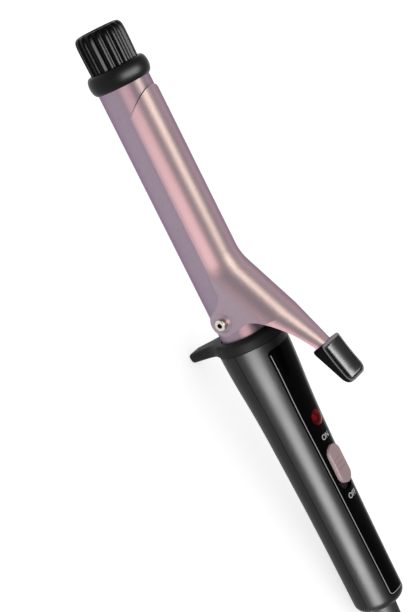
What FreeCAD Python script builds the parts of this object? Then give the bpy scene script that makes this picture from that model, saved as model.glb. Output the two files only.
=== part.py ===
import FreeCAD, Part
import math
import os

# Spring-clip curling iron, in millimetres.
# The tool is built along X: the cool tip towards -X, the handle and cord gland towards +X,
# the clip and lever on +Z, the hinge along Y, and X = 0 at the front face of the stand ring.
# At the end every piece is turned and moved so that the iron stands on its foot and handle end.

V = FreeCAD.Vector
ORIGIN = V(0, 0, 0)
AXIS_X = V(1, 0, 0)
AXIS_Y = V(0, 1, 0)
AXIS_Z = V(0, 0, 1)

# Shared by all cuts and fits
OVERRUN = 1.0            # how far a cutting tool passes the face that it cuts
PRESS_CLEARANCE = 0.02   # between pieces that are pressed or glued together
RUN_CLEARANCE = 0.05     # radial clearance of the hinge pins in the ears
SLIDE_CLEARANCE = 0.35   # round the sliding button

# Barrel
BARREL_DIAMETER = 25.0
BARREL_WALL = 0.6
BARREL_LENGTH = 125.5    # shown between the stand ring and the tip collar
BARREL_IN_COLLAR = 5.0
BARREL_IN_HANDLE = 16.0

# Cool tip
COLLAR_DIAMETER = 27.4
COLLAR_LENGTH = 9.0
COLLAR_LIP = 0.5         # how far the collar's lower edge stands out from the barrel
COLLAR_SHOULDER = 1.0    # how far the collar's upper edge stands out from the knob
KNOB_DIAMETER = 22.5
KNOB_LENGTH = 18.0
KNOB_RIB_COUNT = 18
KNOB_RIB_DIAMETER = 3.1
KNOB_RIB_RISE = 0.9      # height of the ribs above the knob's core
KNOB_RIM = 2.2           # plain rim above the ribs' rounded tops
KNOB_RIM_ROUND = 1.4
KNOB_LEDGE = 1.0         # ledge that the cap sits on
CAP_DIAMETER = 17.2
CAP_THICKNESS = 1.6
CAP_DEPTH = 0.9          # how far the cap lies below the rim
TIP_SPIGOT_DIAMETER = 16.0
TIP_SPIGOT_LENGTH = 8.0  # above the collar, inside the knob
TIP_PLUG_LENGTH = 12.0   # inside the barrel
TIP_PLUG_WALL = 1.6
TIP_WEB = 2.0            # floor of the knob that the screw pulls on
TIP_FLOOR = 3.0          # floor of the plug that the screw bites in
TIP_SCREW_DIAMETER = 3.0
TIP_SCREW_HEAD_DIAMETER = 5.5
TIP_SCREW_HEAD = 2.0
TIP_SCREW_LENGTH = 6.0

# Heater
HEATER_LENGTH = 22.0
HEATER_FROM_RING = 22.0  # from the stand ring to the heater's near end
HEATER_SHOE_WALL = 1.6
HEATER_PLATE_THICKNESS = 2.4
HEATER_PLATE_WIDTH = 14.0
HEATER_PLATE_OVERHANG = 1.5
FUSE_DIAMETER = 4.0
FUSE_LENGTH = 11.0

# Clip, lever and hinge
CLIP_SHEET = 0.6
CLIP_GAP = 0.3           # between the clip and the barrel
CLIP_FROM_COLLAR = 5.0   # from the tip collar to the clip's rounded tip
CLIP_TIP_ROUND = 14.5
CLIP_WRAP = 70.0         # degrees each side of the top
KINK_FROM_RING = 34.0    # where the lever leaves the clip
KINK_BEND = 9.0          # length of the soft bend there
KINK_STEPS = 6           # flats that the soft bend is made of
LEVER_RISE = 27.2        # degrees
LEVER_END = 18.5         # from the stand ring towards the handle, inside the thumb rest
LEVER_END_WIDTH = 11.6
LEVER_END_CROWN = 5.6    # height of the lever's arched section at its end
PIVOT_FROM_RING = 10.0
EAR_RADIUS = 6.5
EAR_NECK = 11.5          # from the pivot to the step in front of the ear
EAR_NECK_ROUND = 2.5     # round that step
EAR_STEP = 1.4
EAR_HEEL = 3.5           # the ear's rear edge at its top, behind the pivot
EAR_HEEL_HEIGHT = 12.4
LEVER_SKIRT_SHARES = ((0.078, 0.26), (0.236, 0.46), (0.468, 0.665), (0.744, 0.855), (1.0, 1.0))
LEVER_SKIRT_END = 3.9    # depth of the lever's side wall at its end

# Hinge screws and washers
HINGE_SCREW_DIAMETER = 3.0
HINGE_HEAD_DIAMETER = 5.5
HINGE_HEAD = 2.0
HINGE_SOCKET_DIAMETER = 2.4
HINGE_SOCKET_DEPTH = 1.1
HINGE_SCREW_LENGTH = 8.0
WASHER_DIAMETER = 9.0
WASHER_THICKNESS = 0.7
WASHER_CONE = 1.2        # width of the washer's sloping border
WASHER_PLAY = 0.06       # between the washer and the ear
BRACKET_DIAMETER = 7.0

# Thumb rest
REST_RISE = 16.3         # degrees, flatter than the lever
REST_LENGTH = 21.2
REST_GRIP = 3.6          # how far the lever reaches into it
REST_WIDTH = 16.0
REST_CORNER = 4.0
REST_FRONT_DEPTH = 6.9
REST_END_DEPTH = 2.6
REST_COVER = 1.5         # plastic above the lever's sheet at the front
REST_HOLLOW = 0.5        # how deep the top is dished
REST_ROUND = 0.9

# Clip spring
SPRING_THICKNESS = 0.5
SPRING_WIDTH = 6.0
SPRING_TOP_LENGTH = 16.0
SPRING_LEG_LENGTH = 15.0
SPRING_BEND = 1.6        # inner radius of its fold
SPRING_FROM_PIVOT = 6.0  # the stud, behind the pivot
SPRING_PLAY = 0.1        # between the leaf's edges and the lever
SPRING_FLOAT = 0.4       # between its foot and the barrel
RIVET_DIAMETER = 2.4
RIVET_HEAD_DIAMETER = 4.0
RIVET_HEAD = 0.7

# Stand ring and foot
RING_DIAMETER = 32.9
RING_LENGTH = 6.0
RING_GROOVE = 0.9        # gap round the barrel at the ring's front
RING_GROOVE_DEPTH = 1.6
RING_ROUND = 0.8
RING_REAR_ROUND = 0.5    # leaves a line between the ring and the handle
FOOT_REACH = 34.2        # from the barrel's axis to the foot's flat
FOOT_SLANT = 1.6         # how far the foot leans towards the handle
FOOT_END = 4.6           # length of its end along the barrel
FOOT_WIDTH = 14.4
FOOT_END_WIDTH = 10.0
FOOT_ROUND = 1.0         # round the flat's border

# Handle
HANDLE_LENGTH = 141.0
HANDLE_END_DIAMETER = 24.8
HANDLE_WALL = 2.8
HANDLE_END_ROUND = 4.6
HANDLE_FRONT_WEB = 6.0   # length of the bore that holds the barrel
HANDLE_END_WALL = 2.5
TAPER_SHARES = ((0, 1), (0.128, 0.80), (0.22, 0.568), (0.419, 0.296), (0.617, 0.123), (0.817, 0.037), (1, 0))
SEAM_WIDTH = 0.3
SEAM_DEPTH = 0.4
BOSS_DIAMETER = 7.0
HANDLE_SCREW_DIAMETER = 2.6
HANDLE_SCREW_HEAD_DIAMETER = 5.0
HANDLE_SCREW_HEAD = 1.8
HANDLE_SCREW_SHARE = 0.15   # place of the front screw along the handle
HANDLE_SCREW_BITE = 6.0  # thread in the upper shell

# Glossy inlay along the top of the handle
PANEL_START = 4.0        # from the handle's front
PANEL_END = 4.8          # from the handle's rear end
PANEL_WIDTH = 20.6
PANEL_MID_WIDTH = 14.8
PANEL_END_WIDTH = 12.4
PANEL_CORNER = 2.0
PANEL_DEPTH = 1.2
PANEL_PROUD = 0.12
PANEL_GAP = 0.1          # round its border

# Indicator
LENS_DIAMETER = 7.5
LENS_DOME = 1.0
LENS_BORE = 5.6          # hole in the shell below the lens
LENS_SHARE = 0.306       # place along the handle
LED_DIAMETER = 5.0
LED_COLLAR = 1.0
LED_COLLAR_DIAMETER = 5.8

# Slide switch
BUTTON_LENGTH = 19.5
BUTTON_WIDTH = 9.0
BUTTON_RISE = 1.3        # above the inlay
BUTTON_RIM = 1.1
BUTTON_RIM_DEPTH = 0.6
BUTTON_RIDGE = 1.0
BUTTON_RIDGE_STEP = 2.6
BUTTON_RIDGE_COUNT = 3
BUTTON_SHARE = 0.48      # place along the handle
BUTTON_TRAVEL = 3.0
STEM_LENGTH = 5.0
STEM_WIDTH = 3.0
STEM_REACH = 1.6         # into the switch
SWITCH_LENGTH = 19.0
SWITCH_WIDTH = 8.0
SWITCH_HEIGHT = 4.6

# Circuit board, its screws, and the wires to the heater
BOARD_BEFORE_LENS = 10.1
BOARD_AFTER_BUTTON = 20.0
BOARD_WIDTH = 15.0
BOARD_THICKNESS = 1.6
BOARD_TOP = 3.6          # above the handle's axis
BOARD_POST_DIAMETER = 5.6
BOARD_SCREW_DIAMETER = 2.0
BOARD_SCREW_HEAD_DIAMETER = 3.8
BOARD_SCREW_HEAD = 1.3
BOARD_SCREW_LENGTH = 5.0
BOARD_POST_INSET = 4.0   # from the board's ends
WIRE_DIAMETER = 1.2
WIRE_SPACING = 11.0
WIRE_ON_BOARD = 6.0
WIRE_PLAY = 0.05

# Cord clamp: a steel saddle on two posts of the lower shell
CLAMP_FROM_END = 22.0    # from the handle's rear end to the clamp's middle
CLAMP_LENGTH = 12.0
CLAMP_WIDTH = 16.4
CLAMP_BASE = -1.0        # from the handle's axis
CLAMP_TOP = 4.2
CLAMP_SCREW_SPACING = 11.0
CLAMP_SCREW_DIAMETER = 2.6
CLAMP_SCREW_HEAD_DIAMETER = 4.0
CLAMP_SCREW_HEAD = 1.4
CLAMP_SCREW_BITE = 4.0
CLAMP_POST_DIAMETER = 5.0
CLAMP_FROM_BOSS = 4.4    # between the clamp and the rear screw's boss

# Cord gland
GLAND_DIAMETER = 12.7
GLAND_END_DIAMETER = 10.4
GLAND_LENGTH = 22.0
GLAND_BORE = 6.4
GLAND_FLANGE_DIAMETER = 16.0
GLAND_FLANGE = 2.0
GLAND_ROUND = 1.0

# Worked out from the sizes above
BARREL_RADIUS = BARREL_DIAMETER / 2
BORE_RADIUS = BARREL_RADIUS - BARREL_WALL
COLLAR_BASE = -BARREL_LENGTH
COLLAR_TOP = COLLAR_BASE - COLLAR_LENGTH
KNOB_TOP = COLLAR_TOP - KNOB_LENGTH
KNOB_RADIUS = KNOB_DIAMETER / 2
CLIP_LENGTH = BARREL_LENGTH - CLIP_FROM_COLLAR
CLIP_INNER = BARREL_RADIUS + CLIP_GAP
CLIP_OUTER = CLIP_INNER + CLIP_SHEET
PIVOT = V(-PIVOT_FROM_RING, 0, 0)
KINK = -KINK_FROM_RING
BEND_START = KINK - KINK_BEND / 2
BEND_STOP = KINK + KINK_BEND / 2
TAPER_START = PIVOT.x + EAR_RADIUS   # where the lever begins to narrow
RISE = math.radians(LEVER_RISE)
SLOPE = math.tan(RISE)
LEVER_TOP = CLIP_OUTER + (LEVER_END - KINK) * SLOPE
HANDLE_START = RING_LENGTH
HANDLE_STOP = HANDLE_START + HANDLE_LENGTH
HANDLE_RADIUS = RING_DIAMETER / 2
HANDLE_END_RADIUS = HANDLE_END_DIAMETER / 2
LENS_FROM_RING = HANDLE_START + HANDLE_LENGTH * LENS_SHARE
BUTTON_FROM_RING = HANDLE_START + HANDLE_LENGTH * BUTTON_SHARE
BOARD_START = LENS_FROM_RING - BOARD_BEFORE_LENS
BOARD_STOP = BUTTON_FROM_RING + BOARD_AFTER_BUTTON
BOARD_BASE = BOARD_TOP - BOARD_THICKNESS
FOOT_X = RING_LENGTH / 2 + FOOT_SLANT
CUT_SPAN = 2 * (RING_DIAMETER + LEVER_TOP)   # wider than any piece


def cylinder_x(radius, start, stop):
    return Part.makeCylinder(radius, stop - start, V(start, 0, 0), AXIS_X)


def cylinder_z(radius, x, y, low, high):
    return Part.makeCylinder(radius, high - low, V(x, y, low), AXIS_Z)


def tube_x(outer, inner, start, stop):
    return cylinder_x(outer, start, stop).cut(cylinder_x(inner, start - OVERRUN, stop + OVERRUN))


def box(x0, x1, y0, y1, z0, z1):
    return Part.makeBox(x1 - x0, y1 - y0, z1 - z0, V(x0, y0, z0))


def turned(edges):
    """A solid turned about the X axis from a closed outline in the XZ plane."""
    return Part.Face(Part.Wire(edges)).revolve(ORIGIN, AXIS_X, 360)


def across(wire, half_width):
    """A closed outline in the XZ plane, drawn out along Y to both sides."""
    face = Part.Face(wire)
    face.translate(V(0, -half_width, 0))
    return face.extrude(V(0, 2 * half_width, 0))


def upright(wire, low, high):
    """A closed outline in the XY plane, drawn out along Z."""
    face = Part.Face(wire)
    face.translate(V(0, 0, low))
    return face.extrude(V(0, 0, high - low))


def line(a, b):
    return Part.LineSegment(a, b).toShape()


def arc(a, middle, b):
    return Part.Arc(a, middle, b).toShape()


def corner_arc(before, corner, after, cut):
    """The arc that rounds a corner, from one touching point to the other, each a cut's length away."""
    one = (before - corner).normalize()
    other = (after - corner).normalize()
    half = one.getAngle(other) / 2
    middle = (one + other).normalize() * (cut * (1 - math.sin(half)) / math.cos(half))
    return arc(corner + one * cut, corner + middle, corner + other * cut)


def rounded_outline(points, corners, cut):
    """A closed outline of straight lines, with the corners of the given numbers rounded."""
    edges = []
    ends = []
    for number, point in enumerate(points):
        if number in corners:
            after = points[(number + 1) % len(points)]
            bend = corner_arc(points[number - 1], point, after, cut)
            edges.append(bend)
            ends.append((bend.Vertexes[0].Point, bend.Vertexes[1].Point))
        else:
            ends.append((point, point))
    for number, (start, stop) in enumerate(ends):
        edges.append(line(ends[number - 1][1], start))
    return Part.Wire(Part.sortEdges(edges)[0])


def smooth(points):
    curve = Part.BSplineCurve()
    curve.interpolate(points)
    return curve.toShape()


def stadium(length, width, centre_x):
    """A slot's outline in the XY plane: two straight sides and two half circles."""
    half = width / 2
    straight = (length - width) / 2
    a = V(centre_x - straight, -half, 0)
    b = V(centre_x + straight, -half, 0)
    c = V(centre_x + straight, half, 0)
    d = V(centre_x - straight, half, 0)
    right = V(centre_x + straight + half, 0, 0)
    left = V(centre_x - straight - half, 0, 0)
    return Part.Wire([line(a, b), arc(b, right, c), line(c, d), arc(d, left, a)])


def handle_radius(share):
    """Radius of the handle at a share of its length, on the straight lines between the taper's points."""
    for (a, high), (b, low) in zip(TAPER_SHARES, TAPER_SHARES[1:]):
        if share <= b:
            taper = high + (low - high) * (share - a) / (b - a)
            return HANDLE_END_RADIUS + (HANDLE_RADIUS - HANDLE_END_RADIUS) * taper
    return HANDLE_END_RADIUS


def handle_top(x):
    return handle_radius((x - HANDLE_START) / HANDLE_LENGTH)


def handle_body(offset, start, stop):
    """The handle's turned shape with its surface moved out by an offset, cut between two places."""
    points = []
    for length_share, taper_share in TAPER_SHARES:
        radius = HANDLE_END_RADIUS + (HANDLE_RADIUS - HANDLE_END_RADIUS) * taper_share
        points.append(V(HANDLE_START + HANDLE_LENGTH * length_share, 0, radius + offset))
    first = V(points[0].x, 0, 0)
    last = V(points[-1].x, 0, 0)
    outline = [smooth(points), line(points[-1], last), line(last, first), line(first, points[0])]
    return turned(outline).common(cylinder_x(HANDLE_RADIUS + RING_DIAMETER, start, stop))


def barrel_tube():
    tube = tube_x(BARREL_RADIUS, BORE_RADIUS, COLLAR_BASE - BARREL_IN_COLLAR, BARREL_IN_HANDLE)
    pin_hole = Part.makeCylinder(HINGE_SCREW_DIAMETER / 2 + PRESS_CLEARANCE, CUT_SPAN,
                                 PIVOT - AXIS_Y * (CUT_SPAN / 2), AXIS_Y)
    return tube.cut(pin_hole)


def tip_collar():
    base = V(COLLAR_BASE, 0, BARREL_RADIUS + COLLAR_LIP)
    crown = V(COLLAR_BASE - COLLAR_LENGTH / 2, 0, COLLAR_DIAMETER / 2)
    top = V(COLLAR_TOP, 0, KNOB_RADIUS + COLLAR_SHOULDER)
    seat = BARREL_RADIUS + PRESS_CLEARANCE
    bore = TIP_SPIGOT_DIAMETER / 2 + PRESS_CLEARANCE
    shoulder = COLLAR_BASE - BARREL_IN_COLLAR - PRESS_CLEARANCE
    corners = [V(COLLAR_TOP, 0, bore), V(shoulder, 0, bore), V(shoulder, 0, seat), V(COLLAR_BASE, 0, seat)]
    inside = [line(a, b) for a, b in zip(corners, corners[1:])]
    return turned([arc(base, crown, top), line(top, corners[0])] + inside + [line(corners[-1], base)])


def tip_knob():
    core = KNOB_RADIUS - KNOB_RIB_RISE
    rim = KNOB_RADIUS - KNOB_RIB_RISE / 2
    body = cylinder_x(core, KNOB_TOP, COLLAR_TOP)
    body = body.fuse(cylinder_x(rim, KNOB_TOP, KNOB_TOP + KNOB_RIM))
    end_edge = [e for e in body.Edges if e.BoundBox.XMax < KNOB_TOP + OVERRUN / 2]
    body = body.makeFillet(KNOB_RIM_ROUND, end_edge)
    rib = KNOB_RIB_DIAMETER / 2
    rib_top = KNOB_TOP + KNOB_RIM + rib
    for index in range(KNOB_RIB_COUNT):
        place = V(0, 0, KNOB_RADIUS - rib)
        place = FreeCAD.Rotation(AXIS_X, 360 * index / KNOB_RIB_COUNT).multVec(place)
        bar = Part.makeCylinder(rib, COLLAR_TOP - rib_top, place + V(rib_top, 0, 0), AXIS_X)
        body = body.fuse(bar.fuse(Part.makeSphere(rib, place + V(rib_top, 0, 0))))
    cap_seat = KNOB_TOP + CAP_DEPTH + CAP_THICKNESS + PRESS_CLEARANCE
    body = body.cut(cylinder_x(CAP_DIAMETER / 2 + PRESS_CLEARANCE, KNOB_TOP - OVERRUN, cap_seat))
    web = COLLAR_TOP - TIP_SPIGOT_LENGTH - PRESS_CLEARANCE
    body = body.cut(cylinder_x(CAP_DIAMETER / 2 - KNOB_LEDGE, cap_seat - OVERRUN, web - TIP_WEB))
    body = body.cut(cylinder_x(TIP_SPIGOT_DIAMETER / 2 + PRESS_CLEARANCE, web, COLLAR_TOP + OVERRUN))
    screw_hole = cylinder_x(TIP_SCREW_DIAMETER / 2 + PRESS_CLEARANCE, KNOB_TOP, COLLAR_TOP)
    return body.cut(screw_hole).removeSplitter()


def tip_cap():
    cap = cylinder_x(CAP_DIAMETER / 2, KNOB_TOP + CAP_DEPTH, KNOB_TOP + CAP_DEPTH + CAP_THICKNESS)
    rim = [e for e in cap.Edges if e.BoundBox.XMax < KNOB_TOP + CAP_DEPTH + CAP_THICKNESS / 2]
    return cap.makeFillet(CAP_THICKNESS / 4, rim)


def tip_plug():
    outer = BORE_RADIUS - PRESS_CLEARANCE
    spigot = TIP_SPIGOT_DIAMETER / 2
    top = COLLAR_TOP - TIP_SPIGOT_LENGTH
    barrel_end = COLLAR_BASE - BARREL_IN_COLLAR
    inner_end = barrel_end + TIP_PLUG_LENGTH
    plug = cylinder_x(outer, barrel_end, inner_end).fuse(cylinder_x(spigot, top, barrel_end))
    cup = cylinder_x(outer - TIP_PLUG_WALL, barrel_end + TIP_PLUG_WALL, inner_end + OVERRUN)
    neck = cylinder_x(spigot - TIP_PLUG_WALL, top + TIP_FLOOR, inner_end)
    pilot = cylinder_x(TIP_SCREW_DIAMETER / 2 + PRESS_CLEARANCE, top - OVERRUN, inner_end)
    return plug.cut(cup).cut(neck).cut(pilot).removeSplitter()


def tip_screw():
    seat = COLLAR_TOP - TIP_SPIGOT_LENGTH - PRESS_CLEARANCE - TIP_WEB
    head = cylinder_x(TIP_SCREW_HEAD_DIAMETER / 2, seat - TIP_SCREW_HEAD, seat)
    shank = cylinder_x(TIP_SCREW_DIAMETER / 2, seat, seat + TIP_SCREW_LENGTH)
    return head.fuse(shank).removeSplitter()


def heater_shoe(side):
    """One half-round aluminium shoe, above (side 1) or below (side -1) the heater plate."""
    stop = -HEATER_FROM_RING
    start = stop - HEATER_LENGTH
    outer = BORE_RADIUS - PRESS_CLEARANCE
    flat = HEATER_PLATE_THICKNESS / 2 + PRESS_CLEARANCE
    shell = tube_x(outer, outer - HEATER_SHOE_WALL, start, stop)
    floor = box(start, stop, -outer, outer, flat, flat + HEATER_SHOE_WALL)
    floor = floor.common(cylinder_x(outer, start, stop))
    half = shell.common(box(start, stop, -outer, outer, flat, outer)).fuse(floor).removeSplitter()
    return half if side > 0 else half.mirror(ORIGIN, AXIS_Z)


def heater_element():
    stop = -HEATER_FROM_RING + HEATER_PLATE_OVERHANG
    start = stop - HEATER_LENGTH
    half = HEATER_PLATE_THICKNESS / 2
    return box(start, stop, -HEATER_PLATE_WIDTH / 2, HEATER_PLATE_WIDTH / 2, -half, half)


def thermal_fuse():
    floor = HEATER_PLATE_THICKNESS / 2 + PRESS_CLEARANCE + HEATER_SHOE_WALL
    middle = -HEATER_FROM_RING - HEATER_LENGTH / 2
    start = V(middle - FUSE_LENGTH / 2, 0, floor + FUSE_DIAMETER / 2)
    body = Part.makeCylinder(FUSE_DIAMETER / 2, FUSE_LENGTH, start, AXIS_X)
    return body.makeFillet(FUSE_DIAMETER / 6, [e for e in body.Edges if e.BoundBox.XLength < PRESS_CLEARANCE])


def hinge_bracket():
    bar = Part.makeCylinder(BRACKET_DIAMETER / 2, BARREL_DIAMETER, PIVOT - AXIS_Y * BARREL_RADIUS, AXIS_Y)
    bar = bar.common(cylinder_x(BORE_RADIUS - PRESS_CLEARANCE, -BARREL_LENGTH, BARREL_IN_HANDLE))
    thread = Part.makeCylinder(HINGE_SCREW_DIAMETER / 2 + PRESS_CLEARANCE, BARREL_DIAMETER,
                               PIVOT - AXIS_Y * BARREL_RADIUS, AXIS_Y)
    return bar.cut(thread)


def both_sides(piece):
    """A piece on the viewer's side (-Y) and its mirror image on the far side."""
    return Part.makeCompound([piece, piece.mirror(ORIGIN, AXIS_Y)])


def hinge_screws():
    seat = CLIP_OUTER + WASHER_PLAY + WASHER_THICKNESS + PRESS_CLEARANCE
    face = PIVOT - AXIS_Y * (seat + HINGE_HEAD)
    head = Part.makeCylinder(HINGE_HEAD_DIAMETER / 2, HINGE_HEAD, face, AXIS_Y)
    outer_edge = [e for e in head.Edges if e.BoundBox.YMax < -seat - HINGE_HEAD / 2]
    head = head.makeFillet(HINGE_HEAD / 3, outer_edge)
    socket = Part.makeCylinder(HINGE_SOCKET_DIAMETER / 2, HINGE_SOCKET_DEPTH, face, AXIS_Y)
    shank = Part.makeCylinder(HINGE_SCREW_DIAMETER / 2, HINGE_SCREW_LENGTH, PIVOT - AXIS_Y * seat, AXIS_Y)
    return both_sides(head.cut(socket).fuse(shank).removeSplitter())


def hinge_washers():
    seat = CLIP_OUTER + WASHER_PLAY
    inner = WASHER_DIAMETER / 2 - WASHER_CONE
    base = PIVOT - AXIS_Y * (seat + WASHER_THICKNESS)
    disc = Part.makeCone(inner, WASHER_DIAMETER / 2, WASHER_THICKNESS, base, AXIS_Y)
    hole = HINGE_SCREW_DIAMETER / 2 + PRESS_CLEARANCE
    return both_sides(disc.cut(Part.makeCylinder(hole, WASHER_THICKNESS + OVERRUN, base, AXIS_Y)))


def lever_line(x):
    """Height of the lever's top at one place along X: level, then the soft bend, then the straight rise."""
    if x < BEND_STOP:
        return CLIP_OUTER + SLOPE * (x - BEND_START) ** 2 / (2 * KINK_BEND)
    return CLIP_OUTER + SLOPE * (x - KINK)


def lever_section(x, inset, low):
    """The lever's outline at one place along X: upright side walls under an arched top."""
    narrow = max(0.0, (x - TAPER_START) / (LEVER_END - TAPER_START))
    half = CLIP_OUTER + (LEVER_END_WIDTH / 2 - CLIP_OUTER) * narrow - inset
    crown = CLIP_OUTER + (LEVER_END_CROWN - CLIP_OUTER) * narrow - inset
    top = lever_line(x) - inset
    left = V(x, -half, top - crown)
    right = V(x, half, top - crown)
    sides = [V(x, half, low), V(x, -half, low)]
    return Part.Wire([arc(left, V(x, 0, top), right), line(right, sides[0]),
                      line(sides[0], sides[1]), line(sides[1], left)])


def lever_block(inset, low):
    """The filled lever: the soft bend, a straight stretch over the hinge, then the tapering arm."""
    places = [BEND_START + KINK_BEND * step / KINK_STEPS for step in range(KINK_STEPS + 1)]
    places += [TAPER_START, LEVER_END]
    return Part.makeLoft([lever_section(x, inset, low) for x in places], True, True)


def lever_side_outline():
    """What is left of the lever's walls, seen from the side: the ear, its step and the rising skirt."""
    edge = CLIP_OUTER * math.cos(math.radians(CLIP_WRAP))
    step = PIVOT.x - EAR_NECK
    drop = math.asin(EAR_STEP / EAR_RADIUS)
    front = V(PIVOT.x - EAR_RADIUS * math.cos(drop), 0, -EAR_RADIUS * math.sin(drop))
    bottom = V(PIVOT.x, 0, -EAR_RADIUS)
    rear = V(PIVOT.x + EAR_RADIUS, 0, 0)
    heel = V(PIVOT.x + EAR_HEEL, 0, EAR_HEEL_HEIGHT)
    tip = V(LEVER_END, 0, LEVER_TOP - LEVER_SKIRT_END)
    skirt = [heel]
    for along_share, rise_share in LEVER_SKIRT_SHARES:
        skirt.append(V(heel.x + (tip.x - heel.x) * along_share, 0, heel.z + (tip.z - heel.z) * rise_share))
    roof = LEVER_TOP + OVERRUN
    start = V(BEND_START, 0, edge)
    neck = corner_arc(start, V(step, 0, edge), front, EAR_NECK_ROUND)
    past_tip = V(LEVER_END + OVERRUN, 0, tip.z)
    roof_end = V(LEVER_END + OVERRUN, 0, roof)
    roof_start = V(BEND_START, 0, roof)
    return Part.Wire([line(start, neck.Vertexes[0].Point), neck, line(neck.Vertexes[1].Point, front),
                      arc(front, bottom, rear), line(rear, heel),
                      smooth(skirt), line(skirt[-1], past_tip), line(past_tip, roof_end),
                      line(roof_end, roof_start), line(roof_start, start)])


def lever_sheet():
    """The pressed sheet of the lever and its ears, without holes."""
    low = -EAR_RADIUS - OVERRUN
    channel = lever_block(0, low).cut(lever_block(CLIP_SHEET, low - OVERRUN))
    return channel.common(across(lever_side_outline(), CLIP_OUTER + OVERRUN))


def clip_plan(start):
    """The clip's outline from above, its tip half an ellipse."""
    round_centre = start + CLIP_TIP_ROUND
    ellipse = Part.Ellipse(V(round_centre, 0, 0), CLIP_TIP_ROUND, CLIP_OUTER)
    tongue = upright(Part.Wire(ellipse.toShape()), 0, CLIP_OUTER + OVERRUN)
    length = box(round_centre, BEND_START, -CLIP_OUTER, CLIP_OUTER, 0, CLIP_OUTER + OVERRUN)
    return tongue.fuse(length)


def clamp_blade():
    start = -CLIP_LENGTH
    edge = CLIP_OUTER * math.cos(math.radians(CLIP_WRAP))
    blade = tube_x(CLIP_OUTER, CLIP_INNER, start, BEND_START)
    blade = blade.common(box(start, BEND_START, -CLIP_OUTER, CLIP_OUTER, edge, CLIP_OUTER))
    blade = blade.common(clip_plan(start))
    pin_hole = Part.makeCylinder(HINGE_SCREW_DIAMETER / 2 + RUN_CLEARANCE, CUT_SPAN,
                                 PIVOT - AXIS_Y * (CUT_SPAN / 2), AXIS_Y)
    return blade.fuse(lever_sheet()).removeSplitter().cut(pin_hole)


def lever_direction():
    return V(math.cos(RISE), 0, math.sin(RISE))


def lever_normal():
    return V(-math.sin(RISE), 0, math.cos(RISE))


def spring_place():
    """The stud's place under the lever, low enough for the flat leaf to clear the arched sheet."""
    x = PIVOT.x + SPRING_FROM_PIVOT
    sag = CLIP_INNER - math.sqrt(CLIP_INNER ** 2 - (SPRING_WIDTH / 2) ** 2)
    return V(x, 0, lever_line(x) - CLIP_SHEET - sag - SPRING_PLAY)


def rest_start():
    """The place where the lever's top line enters the thumb rest."""
    return V(LEVER_END, 0, LEVER_TOP) - lever_direction() * REST_GRIP


def thumb_rest():
    half = REST_WIDTH / 2
    bend = REST_CORNER * (1 - math.cos(math.radians(45)))
    top = [V(0, -half, 0), V(REST_LENGTH - REST_CORNER, -half, 0),
           V(REST_LENGTH - bend, -half + bend, 0), V(REST_LENGTH, -half + REST_CORNER, 0),
           V(REST_LENGTH, half - REST_CORNER, 0), V(REST_LENGTH - bend, half - bend, 0),
           V(REST_LENGTH - REST_CORNER, half, 0), V(0, half, 0)]
    plan = Part.Wire([line(top[0], top[1]), arc(top[1], top[2], top[3]), line(top[3], top[4]),
                      arc(top[4], top[5], top[6]), line(top[6], top[7]), line(top[7], top[0])])
    block = upright(plan, -REST_FRONT_DEPTH - OVERRUN, REST_FRONT_DEPTH + OVERRUN)
    front_top = V(0, 0, REST_COVER)
    hollow = V(REST_LENGTH / 2, 0, REST_COVER - REST_HOLLOW)
    end_top = V(REST_LENGTH, 0, REST_COVER)
    end_low = V(REST_LENGTH, 0, REST_COVER - REST_END_DEPTH)
    front_low = V(0, 0, REST_COVER - REST_FRONT_DEPTH)
    side = Part.Wire([arc(front_top, hollow, end_top), line(end_top, end_low), line(end_low, front_low),
                      line(front_low, front_top)])
    rest = block.common(across(side, REST_WIDTH))
    upper = [f for f in rest.Faces if f.normalAt(0, 0).z > math.cos(RISE)]
    rounded = [e for f in upper for e in f.Edges if e.BoundBox.XMax > OVERRUN]
    rest = rest.makeFillet(REST_ROUND, rounded)
    rest.Placement = FreeCAD.Placement(rest_start(), FreeCAD.Rotation(AXIS_Y, -REST_RISE))
    return rest.cut(lever_sheet())


def spring_outline():
    """The folded leaf from the side: a leaf under the lever, a round fold and a leg down to the barrel."""
    along = lever_direction()
    down = lever_normal() * -1
    front = spring_place() - along * (SPRING_TOP_LENGTH / 2)
    fold = spring_place() + along * (SPRING_TOP_LENGTH / 2)
    outer = SPRING_BEND + SPRING_THICKNESS
    centre = fold + down * outer
    foot = V(PIVOT.x - EAR_HEEL, 0, BARREL_RADIUS + SPRING_FLOAT)
    aim = foot - centre
    heading = math.atan2(aim.z, aim.x) + math.asin(outer / math.hypot(aim.x, aim.z))
    leg = V(math.cos(heading), 0, math.sin(heading)) * SPRING_LEG_LENGTH
    out = V(-math.sin(heading), 0, math.cos(heading))
    outer_leg = centre + out * outer
    inner_leg = centre + out * SPRING_BEND
    return Part.Wire([
        line(front, fold), arc(fold, centre + along * outer, outer_leg), line(outer_leg, outer_leg + leg),
        line(outer_leg + leg, inner_leg + leg), line(inner_leg + leg, inner_leg),
        arc(inner_leg, centre + along * SPRING_BEND, fold + down * SPRING_THICKNESS),
        line(fold + down * SPRING_THICKNESS, front + down * SPRING_THICKNESS),
        line(front + down * SPRING_THICKNESS, front)])


def clip_spring():
    leaf = across(spring_outline(), SPRING_WIDTH / 2)
    hole = Part.makeCylinder(RIVET_DIAMETER / 2 + PRESS_CLEARANCE, 2 * OVERRUN,
                             spring_place() - lever_normal() * OVERRUN, lever_normal())
    return leaf.cut(hole)


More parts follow.
